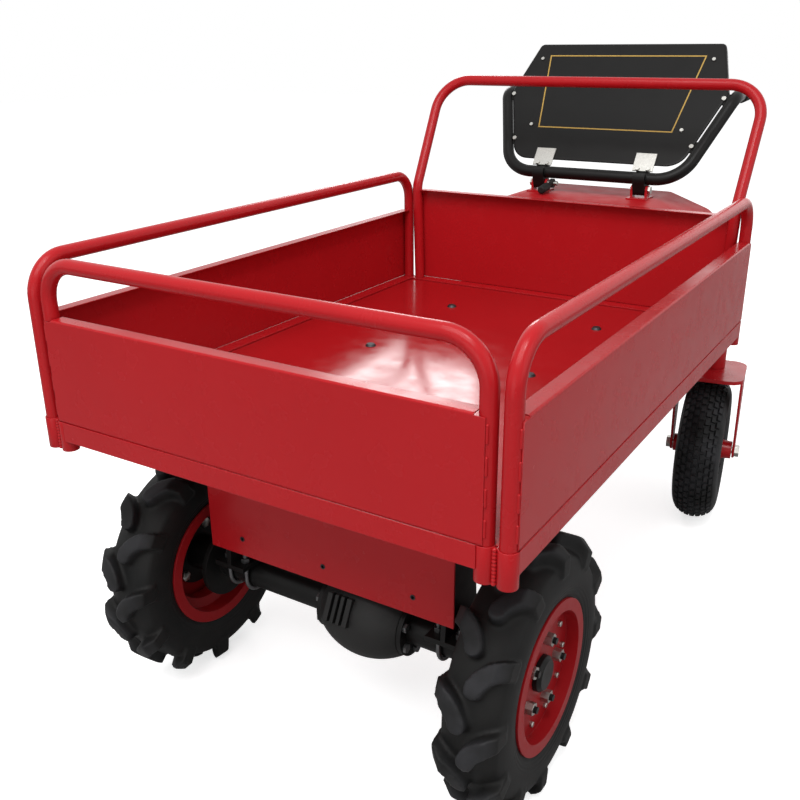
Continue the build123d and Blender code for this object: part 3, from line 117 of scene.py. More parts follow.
world = bpy.data.worlds.new("studio")
bpy.context.scene.world = world
world.use_nodes = True
tree = world.node_tree
tree.nodes.clear()
path = add_node(tree, "ShaderNodeLightPath")
direct = add_node(
    tree, "ShaderNodeMath", {0: path.outputs["Is Camera Ray"], 1: path.outputs["Is Glossy Ray"]}
)
seen = add_node(tree, "ShaderNodeMath", {0: direct.outputs[0], 1: path.outputs["Is Transmission Ray"]})
level = add_node(tree, "ShaderNodeMapRange", {"Value": seen.outputs[0], "To Min": 0.5, "To Max": 1.0})
sky = add_node(tree, "ShaderNodeBackground", {"Color": linear("#ffffff"), "Strength": level.outputs[0]})
add_node(tree, "ShaderNodeOutputWorld", {"Surface": sky.outputs[0]})

for name, place, aim, size, power in (
    ("ceiling_lamp", (0.2, -1.9, 3.3), (0, -0.3, 0.4), 2.4, 80),
    ("side_window", (3.4, -0.6, 1.9), (0, -0.2, 0.4), 2.4, 13),
    ("front_door", (0.2, -3.6, 0.8), (0, -0.5, 0.4), 1.8, 11),
    ("back_door", (0.2, 4.0, 0.8), (0, 0.5, 0.5), 2.2, 13),
    ("back_window", (-1.8, 2.6, 2.05), (0, -0.3, 0.5), 0.8, 16),
    ("tube_lamp", (0.9, -1.2, 2.9), (0, -0.4, 0.5), 0.3, 9),
):
    lamp_data = bpy.data.lights.new(name, "AREA")
    lamp_data.size = size
    lamp_data.energy = power
    lamp = bpy.data.objects.new(name, lamp_data)
    bpy.context.scene.collection.objects.link(lamp)
    lamp.location = place
    lamp.rotation_euler = (Vector(aim) - Vector(place)).to_track_quat("-Z", "Y").to_euler()


# Chassis: two welded box rails with cross tubes and caster sleeves, and an apron plate across their front
# ends, all sprayed with red gloss enamel after welding.
def paint(material, *names):
    """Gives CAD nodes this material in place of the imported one."""
    for name in names:
        mesh = nodes[name].data
        mesh.materials.clear()
        mesh.materials.append(material)


def new_material(name, surface):
    """A principled material with its constants set, its tree, its shader and the piece's own coordinates."""
    made = bpy.data.materials.new(name)
    made.use_nodes = True
    tree = made.node_tree
    shader = tree.nodes["Principled BSDF"]
    for key, value in surface.items():
        shader.inputs[key].default_value = value
    return made, tree, shader, add_node(tree, "ShaderNodeTexCoord").outputs["Object"]


def enamel(name, code, shade, edge_wear_and_highlight, gloss, shine):
    """Sprayed enamel: a hard skin with faint drifts of tone, orange peel, and edges lightened towards a paler
    colour, partly as paint rubbed thin and partly as a painted edge highlight.
    """
    made, tree, shader, where = new_material(name, {"Specular IOR Level": shine})
    drift = add_node(tree, "ShaderNodeTexNoise", {"Vector": where, "Scale": 1000 / 240, "Detail": 3.0})
    tone = add_node(
        tree,
        "ShaderNodeMix",
        {0: drift.outputs["Fac"], 6: linear(code), 7: linear(shade)},
        data_type="RGBA",
    )
    film = add_node(tree, "ShaderNodeTexNoise", {"Vector": where, "Scale": 1000 / 35, "Detail": 4.0})
    sheen = add_node(
        tree,
        "ShaderNodeMapRange",
        {
            "Value": film.outputs["Fac"],
            "From Min": 0.3,
            "From Max": 0.7,
            "To Min": gloss,
            "To Max": gloss + 0.1,
        },
    )
    edge = add_node(tree, "ShaderNodeBevel", {"Radius": 0.0012}, samples=4)
    flat = add_node(tree, "ShaderNodeNewGeometry").outputs["Normal"]
    bend = add_node(tree, "ShaderNodeVectorMath", {0: edge.outputs[0], 1: flat}, operation="DOT_PRODUCT")
    # Near edges the colour is painted lighter in patches, partly as rubbed paint and partly as a painted
    # highlight.
    edge_rub_and_highlight = add_node(
        tree,
        "ShaderNodeMapRange",
        {
            "Value": bend.outputs["Value"],
            "From Min": 0.98,
            "From Max": 0.86,
            "To Max": film.outputs["Fac"],
        },
    )
    skin = add_node(
        tree, "ShaderNodeMix", {0: edge_rub_and_highlight.outputs[0], 6: tone.outputs[2], 7: linear(edge_wear_and_highlight)}, data_type="RGBA"
    )
    # Orange peel is about 2 mm across on the real paint, and is drawn at 9 mm so that it shows.
    peel = add_node(tree, "ShaderNodeTexNoise", {"Vector": where, "Scale": 1000 / 9, "Detail": 1.0})
    bump = add_node(
        tree,
        "ShaderNodeBump",
        {"Height": peel.outputs["Fac"], "Strength": 0.014, "Distance": 0.001, "Normal": edge.outputs[0]},
    )
    tree.links.new(skin.outputs[2], shader.inputs["Base Color"])
    tree.links.new(sheen.outputs[0], shader.inputs["Roughness"])
    tree.links.new(bump.outputs[0], shader.inputs["Normal"])
    return made


# Red gloss enamel: a deep blood red whose hard film gives soft-edged highlights along tubes and folds.
red_enamel = enamel("red_gloss_enamel", "#b41a20", "#a8161c", "#c9474d", gloss=0.2, shine=0.2)
paint(red_enamel, "chassis_frame", "front_apron")


# Apron inserts: threaded rivet inserts in the apron's three holes, for a hitch or a lamp bar. Each is turned
# from steel bar, with a thin flange in front of the sheet and a blind bore.
def start_piece(name, add, **sizes):
    """Adds a primitive alone and opens it for editing, with all of it selected."""
    bpy.ops.object.select_all(action="DESELECT")
    add(**sizes)
    piece = bpy.context.object
    piece.name = name
    bpy.ops.object.mode_set(mode="EDIT")
    return piece


def pick_faces(piece, test):
    """Selects only the faces whose centre and normal pass the test, in edit mode."""
    bpy.ops.mesh.select_mode(type="FACE")
    bpy.ops.mesh.select_all(action="DESELECT")
    bpy.ops.object.mode_set(mode="OBJECT")
    for face in piece.data.polygons:
        face.select = test(face.center, face.normal)
    bpy.ops.object.mode_set(mode="EDIT")


def select_alone(piece):
    """Makes a piece the active one, and the only one selected."""
    bpy.ops.object.select_all(action="DESELECT")
    bpy.context.view_layer.objects.active = piece
    piece.select_set(True)


def set_place(piece):
    """Leaves edit mode and puts the place, turn and scale of a piece into its mesh."""
    bpy.ops.object.mode_set(mode="OBJECT")
    select_alone(piece)
    bpy.ops.object.transform_apply(location=True, rotation=True, scale=True)


def copy_piece(piece, name, move):
    """A copy of a piece with its own mesh, moved by a matrix."""
    made = bpy.data.objects.new(name, piece.data.copy())
    bpy.context.scene.collection.objects.link(made)
    made.data.transform(move)
    return made


def give_finish(piece, material, body, angle=35):
    """Shades a finished piece, and gives it its material and body."""
    select_alone(piece)
    bpy.ops.object.shade_smooth_by_angle(angle=radians(angle))
    piece.data.materials.clear()
    piece.data.materials.append(material)
    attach(piece, body)


def mottled(name, code, shade, patch_mm, detail, surface):
    """A material whose colour drifts between two tones, in patches of about this size."""
    made, tree, shader, where = new_material(name, surface)
    patch = add_node(
        tree, "ShaderNodeTexNoise", {"Vector": where, "Scale": 1000 / patch_mm, "Detail": detail}
    )
    tone = add_node(
        tree,
        "ShaderNodeMix",
        {0: patch.outputs["Fac"], 6: linear(code), 7: linear(shade)},
        data_type="RGBA",
    )
    tree.links.new(tone.outputs[2], shader.inputs["Base Color"])
    return made, tree, shader, where


# Phosphated steel: a dark grey crystal coat, oiled, that keeps only a dull metal gleam.
dark_steel, tree, shader, where = mottled(
    "phosphated_steel", "#2c2c2e", "#474749", 6, 3.0, {"Metallic": 0.8, "Roughness": 0.45}
)
edge = add_node(tree, "ShaderNodeBevel", {"Radius": 0.0006}, samples=4)
tree.links.new(edge.outputs[0], shader.inputs["Normal"])

apron_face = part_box("front_apron")[0][1]
insert_z = 0.302
insert_pitch = 0.16
insert_radius = 0.0034
insert_length = 0.008
flange_proud = 0.0008
flange_rim = 0.0009
bore_wall = 0.0008
bore_depth = 0.006
insert_end = insert_length / 2
insert = start_piece(
    "apron_insert_middle",
    bpy.ops.mesh.primitive_cylinder_add,
    vertices=24,
    radius=insert_radius,
    depth=insert_length,
    location=(0, apron_face - flange_proud + insert_end, insert_z),
    rotation=(pi / 2, 0, 0),
)
bpy.ops.mesh.bisect(plane_co=(0, apron_face, insert_z), plane_no=(0, 1, 0))
pick_faces(insert, lambda centre, normal: centre.z > insert_end - flange_proud and abs(normal.z) < 0.1)
bpy.ops.mesh.extrude_region_shrink_fatten(TRANSFORM_OT_shrink_fatten={"value": flange_rim})
pick_faces(
    insert, lambda centre, normal: normal.z > 0.9 and hypot(centre.x, centre.y) < insert_radius
)
bpy.ops.mesh.inset(thickness=bore_wall)
bpy.ops.mesh.extrude_region_move(TRANSFORM_OT_translate={"value": (0, bore_depth, 0)})
set_place(insert)
for name, reach in (("apron_insert_left", insert_pitch), ("apron_insert_right", -insert_pitch)):
    give_finish(copy_piece(insert, name, Matrix.Translation((reach, 0, 0))), dark_steel, "chassis")
give_finish(insert, dark_steel, "chassis")

# Axle: black satin hangers and tubes under the chassis, plated pins, bearings and bolts, a cast gear case and
# a cast alloy motor hung behind it.

# Black satin enamel: a thin dark coat with a low sheen, greyed at its edges, partly as rubbed paint and
# partly as a painted highlight.
black_enamel = enamel("black_satin_enamel", "#111111", "#171615", "#2a2928", gloss=0.34, shine=0.16)
paint(black_enamel, "axle_hangers", "axle_tubes")

# Zinc plate: a thin bright passivated coat with a faint crystal mottle, duller than polished steel. Its
# crystals are finer than the render shows, and are drawn at 2 mm.
zinc_plate, tree, shader, where = new_material("zinc_plated_steel", {"Metallic": 1.0})
spangle = add_node(tree, "ShaderNodeTexVoronoi", {"Vector": where, "Scale": 1000 / 2})
shine = add_node(
    tree, "ShaderNodeMapRange", {"Value": spangle.outputs["Color"], "To Min": 0.28, "To Max": 0.44}
)
shade = add_node(
    tree,
    "ShaderNodeMix",
    {0: spangle.outputs["Color"], 6: linear("#bdbcb7"), 7: linear("#a8a7a2")},
    data_type="RGBA",
)
edge = add_node(tree, "ShaderNodeBevel", {"Radius": 0.0006}, samples=4)
tree.links.new(shade.outputs[2], shader.inputs["Base Color"])
tree.links.new(shine.outputs[0], shader.inputs["Roughness"])
tree.links.new(edge.outputs[0], shader.inputs["Normal"])
paint(zinc_plate, "hinge_pins", "axle_bearings")

# Weathered zinc: the same plating after a season outdoors, greyed in patches, with gleams left on the flats.
dull_zinc, tree, shader, where = mottled(
    "weathered_zinc_plate", "#4a4a4b", "#808081", 8, 4.0, {"Metallic": 0.9, "Roughness": 0.38}
)
edge = add_node(tree, "ShaderNodeBevel", {"Radius": 0.0006}, samples=4)
tree.links.new(edge.outputs[0], shader.inputs["Normal"])
paint(dull_zinc, "axle_bolts")

# Cast iron: a sand-cast skin under a coat of dark grey, rough to the eye, with oil-darkened patches. The
# sand's grain is under a millimetre, and is drawn at 3 mm so that it shows.
cast_iron, tree, shader, where = mottled(
    "painted_cast_iron", "#141414", "#292827", 40, 4.0, {"Roughness": 0.5, "Specular IOR Level": 0.25}
)
edge = add_node(tree, "ShaderNodeBevel", {"Radius": 0.002}, samples=4)
sand = add_node(tree, "ShaderNodeTexNoise", {"Vector": where, "Scale": 1000 / 3, "Detail": 2.0})
bump = add_node(
    tree,
    "ShaderNodeBump",
    {"Height": sand.outputs["Fac"], "Strength": 0.35, "Distance": 0.0006, "Normal": edge.outputs[0]},
)
tree.links.new(bump.outputs[0], shader.inputs["Normal"])
paint(cast_iron, "gear_case")

# Cast aluminium: pale grey and grainy, with a soft metal sheen on the fins of the motor and the controller.
# Its grain is finer than the render shows, and is drawn at 2 mm.
cast_alloy, tree, shader, where = mottled(
    "cast_aluminium", "#6f7073", "#8d8e90", 25, 4.0, {"Metallic": 0.85, "Roughness": 0.48}
)
grain = add_node(tree, "ShaderNodeTexNoise", {"Vector": where, "Scale": 1000 / 2, "Detail": 2.0})
bump = add_node(
    tree, "ShaderNodeBump", {"Height": grain.outputs["Fac"], "Strength": 0.25, "Distance": 0.0005}
)
tree.links.new(bump.outputs[0], shader.inputs["Normal"])
paint(cast_alloy, "drive_motor")


# Drive wheels: moulded rubber tyres with chevron lugs on pressed red rims, with black hubs and plated wheel
# nuts. A moulded lug has rounded edges, so each tyre is a copy of its solid with the edges eased.
def copy_node(node, name):
    """A copy of a CAD node as a piece of its own, merged, and the only one selected."""
    touching = 0.00002
    piece = bpy.data.objects.new(name, nodes[node].data.copy())
    bpy.context.scene.collection.objects.link(piece)
    select_alone(piece)
    bpy.ops.object.mode_set(mode="EDIT")
    bpy.ops.mesh.select_all(action="SELECT")
    bpy.ops.mesh.remove_doubles(threshold=touching)
    bpy.ops.object.mode_set(mode="OBJECT")
    return piece


def apply_modifier(piece, kind, **settings):
    """Adds one modifier with its settings to the active piece and applies it."""
    made = piece.modifiers.new("step", kind)
    for key, value in settings.items():
        setattr(made, key, value)
    bpy.ops.object.modifier_apply(modifier=made.name)


axle_low, axle_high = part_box("left_hub")
axle_y = (axle_low[1] + axle_high[1]) / 2
axle_z = (axle_low[2] + axle_high[2]) / 2
wheel_x = (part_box("left_tyre")[0][0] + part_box("left_tyre")[1][0]) / 2
lug_foot_radius = 0.186
lug_top_radius = 0.199
sidewall_ring_pitch = 0.006
sidewall_outer = 0.138
sidewall_inner = 0.132
rubber_voxel = 0.003

# Tyre rubber: carbon black in dusty patches, painted lighter on the lug tops and darker in the hollows as
# painted light and shade, with fine rings round the sidewall. The mould's fine grain is drawn at 4 mm so that
# it shows.
tyre_rubber, tree, shader, where = new_material(
    "moulded_tyre_rubber", {"Roughness": 0.6, "Specular IOR Level": 0.22}
)
dust = add_node(tree, "ShaderNodeTexNoise", {"Vector": where, "Scale": 1000 / 60, "Detail": 6.0})
spread = add_node(
    tree, "ShaderNodeMapRange", {"Value": dust.outputs["Fac"], "From Min": 0.35, "From Max": 0.75}
)
centred = add_node(tree, "ShaderNodeMapping", {"Vector": where, "Location": (0, -axle_y, -axle_z)})
flat = add_node(tree, "ShaderNodeVectorMath", {0: centred.outputs[0], 1: (0, 1, 1)}, operation="MULTIPLY")
radius = add_node(tree, "ShaderNodeVectorMath", {0: flat.outputs[0]}, operation="LENGTH")
# Painted light and shade: the lug tops, farthest from the axle, are painted lighter and the hollows between
# them darker.
lug_light_and_shade = add_node(
    tree,
    "ShaderNodeMapRange",
    {
        "Value": radius.outputs["Value"],
        "From Min": lug_foot_radius,
        "From Max": lug_top_radius,
        "To Max": spread.outputs[0],
    },
)
grey = add_node(
    tree,
    "ShaderNodeMix",
    {0: spread.outputs[0], 6: linear("#0d0d0d"), 7: linear("#181716")},
    data_type="RGBA",
)
shade = add_node(
    tree,
    "ShaderNodeMix",
    {0: lug_light_and_shade.outputs[0], 6: grey.outputs[2], 7: linear("#2f2f32")},
    data_type="RGBA",
)
turns = add_node(
    tree,
    "ShaderNodeMath",
    {0: radius.outputs["Value"], 1: 2 * pi / sidewall_ring_pitch},
    operation="MULTIPLY",
)
rings = add_node(tree, "ShaderNodeMath", {0: turns.outputs[0]}, operation="SINE")
inner = add_node(
    tree,
    "ShaderNodeMapRange",
    {"Value": radius.outputs["Value"], "From Min": sidewall_outer, "From Max": sidewall_inner},
)
cut = add_node(tree, "ShaderNodeMath", {0: rings.outputs[0], 1: inner.outputs[0]}, operation="MULTIPLY")
grain = add_node(tree, "ShaderNodeTexNoise", {"Vector": where, "Scale": 1000 / 4, "Detail": 3.0})
relief = add_node(
    tree, "ShaderNodeMath", {0: grain.outputs["Fac"], 1: 0.6, 2: cut.outputs[0]}, operation="MULTIPLY_ADD"
)
bump = add_node(
    tree, "ShaderNodeBump", {"Height": relief.outputs[0], "Strength": 0.3, "Distance": 0.0007}
)
tree.links.new(shade.outputs[2], shader.inputs["Base Color"])
tree.links.new(bump.outputs[0], shader.inputs["Normal"])

for side in ("left", "right"):
    tyre = copy_node(f"{side}_tyre", f"{side}_lugged_tyre")
    apply_modifier(tyre, "REMESH", mode="VOXEL", voxel_size=rubber_voxel)
    apply_modifier(tyre, "SMOOTH", factor=0.5, iterations=2)
    give_finish(tyre, tyre_rubber, f"{side}_wheel", 180)
    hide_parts(f"{side}_tyre")

# Rim enamel: the same red, painted darker as painted shade, and less glossy on the pressed rims.
shaded_rim_enamel = enamel("shaded_red_rim_enamel", "#9e171c", "#8c1318", "#b8464b", gloss=0.34, shine=0.14)
paint(shaded_rim_enamel, "left_rim", "right_rim")
paint(black_enamel, "left_hub", "right_hub")
paint(zinc_plate, "left_wheel_nuts", "right_wheel_nuts")


# Stud heads: hexagon heads of the wheel studs, pressed in from behind. They sit on the inner face of each
# hub's flange, zinc plated, with a turned chamfer.
def join_pieces(pieces, name):
    """Joins pieces into the first one."""
    select_alone(pieces[0])
    for piece in pieces:
        piece.select_set(True)
    bpy.ops.object.join()
    pieces[0].name = name
    return pieces[0]


stud_ring = 0.052
stud_count = 5
head_radius = 0.0094
head_height = 0.007
chamfer_width = 0.0016
chamfer_rise = 0.0009
flange_out = 0.010
head = start_piece(
    "stud_head", bpy.ops.mesh.primitive_cylinder_add, vertices=6, radius=head_radius, depth=head_height
)
pick_faces(head, lambda centre, normal: normal.z > 0.9)
bpy.ops.mesh.inset(thickness=chamfer_width)
bpy.ops.transform.translate(value=(0, 0, chamfer_rise))
set_place(head)
for side, sign in (("left", 1), ("right", -1)):
    heads = []
    for stud in range(stud_count):
        turn = 2 * pi * stud / stud_count
        seat = (
            sign * (wheel_x + flange_out - head_height / 2),
            axle_y + stud_ring * cos(turn),
            axle_z + sign * stud_ring * sin(turn),
        )
        move = Matrix.Translation(seat) @ Matrix.Rotation(-sign * pi / 2, 4, "Y")
        heads.append(copy_piece(head, f"{side}_stud_head", move))
    give_finish(join_pieces(heads, f"{side}_stud_heads"), zinc_plate, f"{side}_wheel")
bpy.data.objects.remove(head)

# Casters: red pressed forks on king pins, plated axles, red rims and pneumatic tyres with small tread blocks.
# The tyre's crown is let down by the depth of its blocks, which then stand on it. A block is a low rubber
# stud with a narrowed top, seven across the crown and staggered from row to row.
paint(red_enamel, "left_caster_fork", "right_caster_fork", "left_caster_rim", "right_caster_rim")
paint(zinc_plate, "left_caster_axle", "right_caster_axle")
crown_ring = 0.1119
crown_radius = 0.0531
crown_drop = 0.0042
crown_edge = radians(49)
rows_across = 7
row_step = radians(14)
blocks_round = 52
block_width = 0.0098
block_length = 0.0138
block_height = 0.006
block_taper = (0.84, 0.86, 1)
left_swivel = radians(8.5)
block = start_piece(
    "tread_block",
    bpy.ops.mesh.primitive_cube_add,
    size=1,
    scale=(block_width, block_length, block_height),
)
pick_faces(block, lambda centre, normal: normal.z > 0.9)
bpy.ops.transform.resize(value=block_taper)
set_place(block)
rows = []
for row in range(rows_across):
    lean = (row - (rows_across - 1) / 2) * row_step
    stagger = Matrix.Rotation(row % 2 * pi / blocks_round, 4, "X")
    ring = Matrix.Translation((0, 0, crown_ring))
    out = Matrix.Translation((0, 0, crown_radius - block_height / 2))
    rows.append(copy_piece(block, f"tread_row_{row}", stagger @ ring @ Matrix.Rotation(lean, 4, "Y") @ out))
bpy.data.objects.remove(block)
tread = join_pieces(rows, "tread")
bpy.ops.object.mode_set(mode="EDIT")
bpy.ops.mesh.select_all(action="SELECT")
whole_turn = 2 * pi * (blocks_round - 1) / blocks_round
bpy.ops.mesh.spin(
    steps=blocks_round - 1, dupli=True, angle=whole_turn, center=(0, 0, 0), axis=(1, 0, 0)
)
bpy.ops.object.mode_set(mode="OBJECT")

for side, swivel in (("left", left_swivel), ("right", 0)):
    low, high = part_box(f"{side}_caster_tyre")
    middle = (Vector(low) + Vector(high)) / 2
    stand = Matrix.Translation(middle) @ Matrix.Rotation(swivel, 4, "Z")
    tyre = copy_node(f"{side}_caster_tyre", f"{side}_blocked_tyre")
    apply_modifier(tyre, "REMESH", mode="VOXEL", voxel_size=rubber_voxel)
    bpy.ops.object.mode_set(mode="EDIT")
    bpy.ops.mesh.select_mode(type="VERT")
    bpy.ops.mesh.select_all(action="DESELECT")
    bpy.ops.object.mode_set(mode="OBJECT")
    for vertex in tyre.data.vertices:
        spot = stand.inverted() @ vertex.co
        out = hypot(spot.y, spot.z) - crown_ring
        across = abs(atan2(spot.x, out))
        vertex.select = across < crown_edge and hypot(spot.x, out) > crown_radius - crown_drop
    bpy.ops.object.mode_set(mode="EDIT")
    bpy.ops.transform.shrink_fatten(value=-crown_drop)
    bpy.ops.object.mode_set(mode="OBJECT")
    apply_modifier(tyre, "SMOOTH", factor=0.5, iterations=2)
    join_pieces([tyre, copy_piece(tread, f"{side}_tread", stand)], f"{side}_blocked_tyre")
    give_finish(tyre, tyre_rubber, f"{side}_caster_wheel")
    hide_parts(f"{side}_caster_tyre")
bpy.data.objects.remove(tread)

# Sintered bronze: a dull warm yellow for the bushes of the king pins. Its pores are too fine to show, and are
# drawn at 1.5 mm.
bronze, *_ = mottled(
    "sintered_bronze", "#7a5f31", "#a5854c", 1.5, 2.0, {"Metallic": 1.0, "Roughness": 0.45}
)
paint(bronze, "king_pin_bushes")

# Battery box: a black tray across the chassis rails carries four sealed batteries and the motor controller,
# under a folded red sheet cover.
paint(black_enamel, "battery_tray")
paint(cast_alloy, "motor_controller")

# Rubbed red enamel: the cover's paint, dulled by hands and wiping, so that it hardly mirrors the sky.
cover_enamel = enamel("rubbed_red_enamel", "#b41a20", "#a8161c", "#c9474d", gloss=0.4, shine=0.1)
paint(cover_enamel, "rear_cover")

# Moulded ABS: a dark case with a fine spark-eroded texture that scatters its highlights. The texture is about
# ten times as coarse as on a real case, so that it shows.
moulded_abs, tree, shader, where = mottled(
    "moulded_black_abs", "#131314", "#1c1c1d", 30, 4.0, {"Roughness": 0.5, "Specular IOR Level": 0.25}
)
grain = add_node(tree, "ShaderNodeTexNoise", {"Vector": where, "Scale": 1000 / 1.5, "Detail": 1.0})
edge = add_node(tree, "ShaderNodeBevel", {"Radius": 0.001}, samples=4)
bump = add_node(
    tree,
    "ShaderNodeBump",
    {"Height": grain.outputs["Fac"], "Strength": 0.15, "Distance": 0.0003, "Normal": edge.outputs[0]},
)
tree.links.new(bump.outputs[0], shader.inputs["Normal"])
paint(moulded_abs, "batteries")

# Bed: a red channel frame on rubber pads, with a sheet floor let in on its cross members and dark bolts
# through it. The frame itself follows with its corner sockets.

# Scuffed enamel: the floor's red, polished by loads that have slid over it, so that it mirrors the windows.
floor_enamel = enamel("scuffed_red_enamel", "#ae181d", "#991418", "#c2484c", gloss=0.11, shine=0.24)
paint(floor_enamel, "bed_floor")
paint(dark_steel, "floor_bolts")

# Soft rubber: matt black with a faint bloom, for the bed's pads.
soft_rubber, *_ = mottled(
    "soft_black_rubber", "#141313", "#201f1e", 20, 4.0, {"Roughness": 0.66, "Specular IOR Level": 0.25}
)
paint(soft_rubber, "bed_pads")


# Corner sockets: two short tubes at each corner of the bed take the legs of the gates. The rails stop at
# them, and a bead of weld fills the notch between the two.
def weld_bead(name, radius, pitch, count):
    """A row of overlapping ripples of weld, up from its foot."""
    flattened = (1, 1, 0.9)
    skin_voxel = 0.0008
    made = start_piece(name, bpy.ops.mesh.primitive_ico_sphere_add, subdivisions=2, radius=radius)
    bpy.ops.transform.resize(value=flattened)
    set_place(made)
    apply_modifier(
        made,
        "ARRAY",
        count=count,
        use_relative_offset=False,
        use_constant_offset=True,
        constant_offset_displace=(0, 0, pitch),
    )
    apply_modifier(made, "REMESH", mode="VOXEL", voxel_size=skin_voxel)
    return made


rim_low, rim_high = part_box("bed_frame")
corner_inset = 0.013
socket_pitch = 0.029
socket_radius = 0.0128
socket_wall = 0.0014
socket_depth = 0.048
socket_middle = rim_high[2] - socket_depth / 2
eased_edge = 0.0004
notch_spare = 0.021
notch_width = socket_pitch + notch_spare
notch_shift = 0.0045
bead_radius = 0.0036
bead_pitch = 0.0048
bead_count = 10
bead_out = 0.006
bed_ring = copy_node("bed_frame", "bed_ring")
socket = start_piece(
    "corner_socket",
    bpy.ops.mesh.primitive_cylinder_add,
    vertices=32,
    radius=socket_radius,
    depth=socket_depth,
    end_fill_type="NOTHING",
)
set_place(socket)
apply_modifier(socket, "SOLIDIFY", thickness=socket_wall, offset=-1)
apply_modifier(socket, "BEVEL", width=eased_edge, segments=2, limit_method="ANGLE")
bead = weld_bead("weld_bead", bead_radius, bead_pitch, bead_count)
tubes = []
beads = []
for side in (-1, 1):
    for end, face in ((-1, rim_low[1]), (1, rim_high[1])):
        line = face - end * corner_inset
        outer = side * (rim_high[0] - corner_inset)
        inner = outer - side * socket_pitch
        between = (inner + outer) / 2
        notch = start_piece(
            "corner_notch",
            bpy.ops.mesh.primitive_cube_add,
            size=1,
            location=(between + side * notch_shift, line + end * corner_inset, socket_middle),
            scale=(notch_width, 2 * corner_inset, 2 * socket_depth),
        )
        set_place(notch)
        select_alone(bed_ring)
        apply_modifier(bed_ring, "BOOLEAN", operation="DIFFERENCE", object=notch, solver="EXACT")
        bpy.data.objects.remove(notch)
        for reach in (outer, inner):
            tubes.append(
                copy_piece(socket, "corner_tube", Matrix.Translation((reach, line, socket_middle)))
            )
        foot = (between, line + end * bead_out, socket_middle - bead_pitch * (bead_count - 1) / 2)
        beads.append(copy_piece(bead, "corner_bead", Matrix.Translation(foot)))
bpy.data.objects.remove(socket)
bpy.data.objects.remove(bead)
give_finish(join_pieces(tubes, "corner_sockets"), red_enamel, "bed")
give_finish(join_pieces(beads, "corner_welds"), red_enamel, "bed", 80)
give_finish(bed_ring, red_enamel, "bed", 25)
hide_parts("bed_frame")

# Gates: hoops of bent round tube that drop into the bed's corner sockets, each with a folded sheet welded to
# the outside of its legs. The sheet's lower edge is ground off on the outside, so that a shadow line is left
# above the rail. Stitches of weld hold the sheet's ends to the legs.
sheet_bevel = 0.0034
edge_reach = 0.0005
stitch_radius = 0.0022
stitch_aside = 0.0014
stitch_inset = 0.0002
stitch_shares = (0.14, 0.38, 0.62, 0.86)
ripple_pitch = 0.0025
ripple_count = 9
stitch_depth = stitch_inset + stitch_radius
half_stitch = ripple_pitch * (ripple_count - 1) / 2
stitch = weld_bead("weld_stitch", stitch_radius, ripple_pitch, ripple_count)
for gate, out in (
    ("front_gate", Vector((0, -1, 0))),
    ("rear_gate", Vector((0, 1, 0))),
    ("left_gate", Vector((1, 0, 0))),
    ("right_gate", Vector((-1, 0, 0))),
):
    paint(red_enamel, f"{gate}_hoop")
    low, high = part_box(f"{gate}_sheet")
    outside = max(out.dot(Vector(low)), out.dot(Vector(high)))
    sheet = copy_node(f"{gate}_sheet", f"{gate}_panel")
    bpy.ops.object.mode_set(mode="EDIT")
    bpy.ops.mesh.select_mode(type="VERT")
    bpy.ops.mesh.select_all(action="DESELECT")
    bpy.ops.object.mode_set(mode="OBJECT")
    for vertex in sheet.data.vertices:
        lowest = vertex.co.z < low[2] + edge_reach
        vertex.select = lowest and out.dot(vertex.co) > outside - edge_reach
    bpy.ops.object.mode_set(mode="EDIT")
    bpy.ops.transform.translate(value=(0, 0, sheet_bevel))
    bpy.ops.object.mode_set(mode="OBJECT")
    give_finish(sheet, red_enamel, gate, 25)
    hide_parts(f"{gate}_sheet")
    along = Vector((0, 0, 1)).cross(out)
    welds = []
    for end, far in ((low, high), (high, low)):
        edge = along.dot(Vector(end))
        over = edge + (stitch_aside if edge > along.dot(Vector(far)) else -stitch_aside)
        for share in stitch_shares:
            foot = along * over + out * (outside - stitch_depth)
            foot.z = low[2] + share * (high[2] - low[2]) - half_stitch
            welds.append(copy_piece(stitch, "gate_stitch", Matrix.Translation(foot)))
    give_finish(join_pieces(welds, f"{gate}_welds"), red_enamel, gate, 80)
bpy.data.objects.remove(stitch)

# Handlebar: red clevises on the battery cover and black saddles in them hold a bent black tube, with black
# caps, plated straps and a rubber-covered lock lever on the right-hand fold pin.
paint(red_enamel, "handle_brackets")
paint(black_enamel, "handle_saddles", "handlebar", "saddle_caps", "brake_lever")
paint(zinc_plate, "fold_pins", "clamp_straps", "panel_screws")
paint(soft_rubber, "fold_lock_lever")

# Console: a folded black panel towards the bed, with a moulded box behind it that carries the gauge, key
# switch, direction rocker and stop button.
paint(black_enamel, "console_panel")
paint(moulded_abs, "console_box", "direction_rocker", "throttle_housing")
paint(zinc_plate, "key")

# Dial: a clear polycarbonate lens over a dark face, smeared a little by gloves.
dial, *_ = mottled(
    "polycarbonate_dial", "#101312", "#1a1e1d", 12, 3.0, {"Roughness": 0.12, "Coat Weight": 0.6}
)
paint(dial, "battery_gauge")

# Stop button: glossy moulded red plastic, slightly faded in patches.
stop_plastic, *_ = mottled("moulded_red_plastic", "#c4131a", "#b01118", 15, 2.0, {"Roughness": 0.25})
paint(stop_plastic, "stop_button")

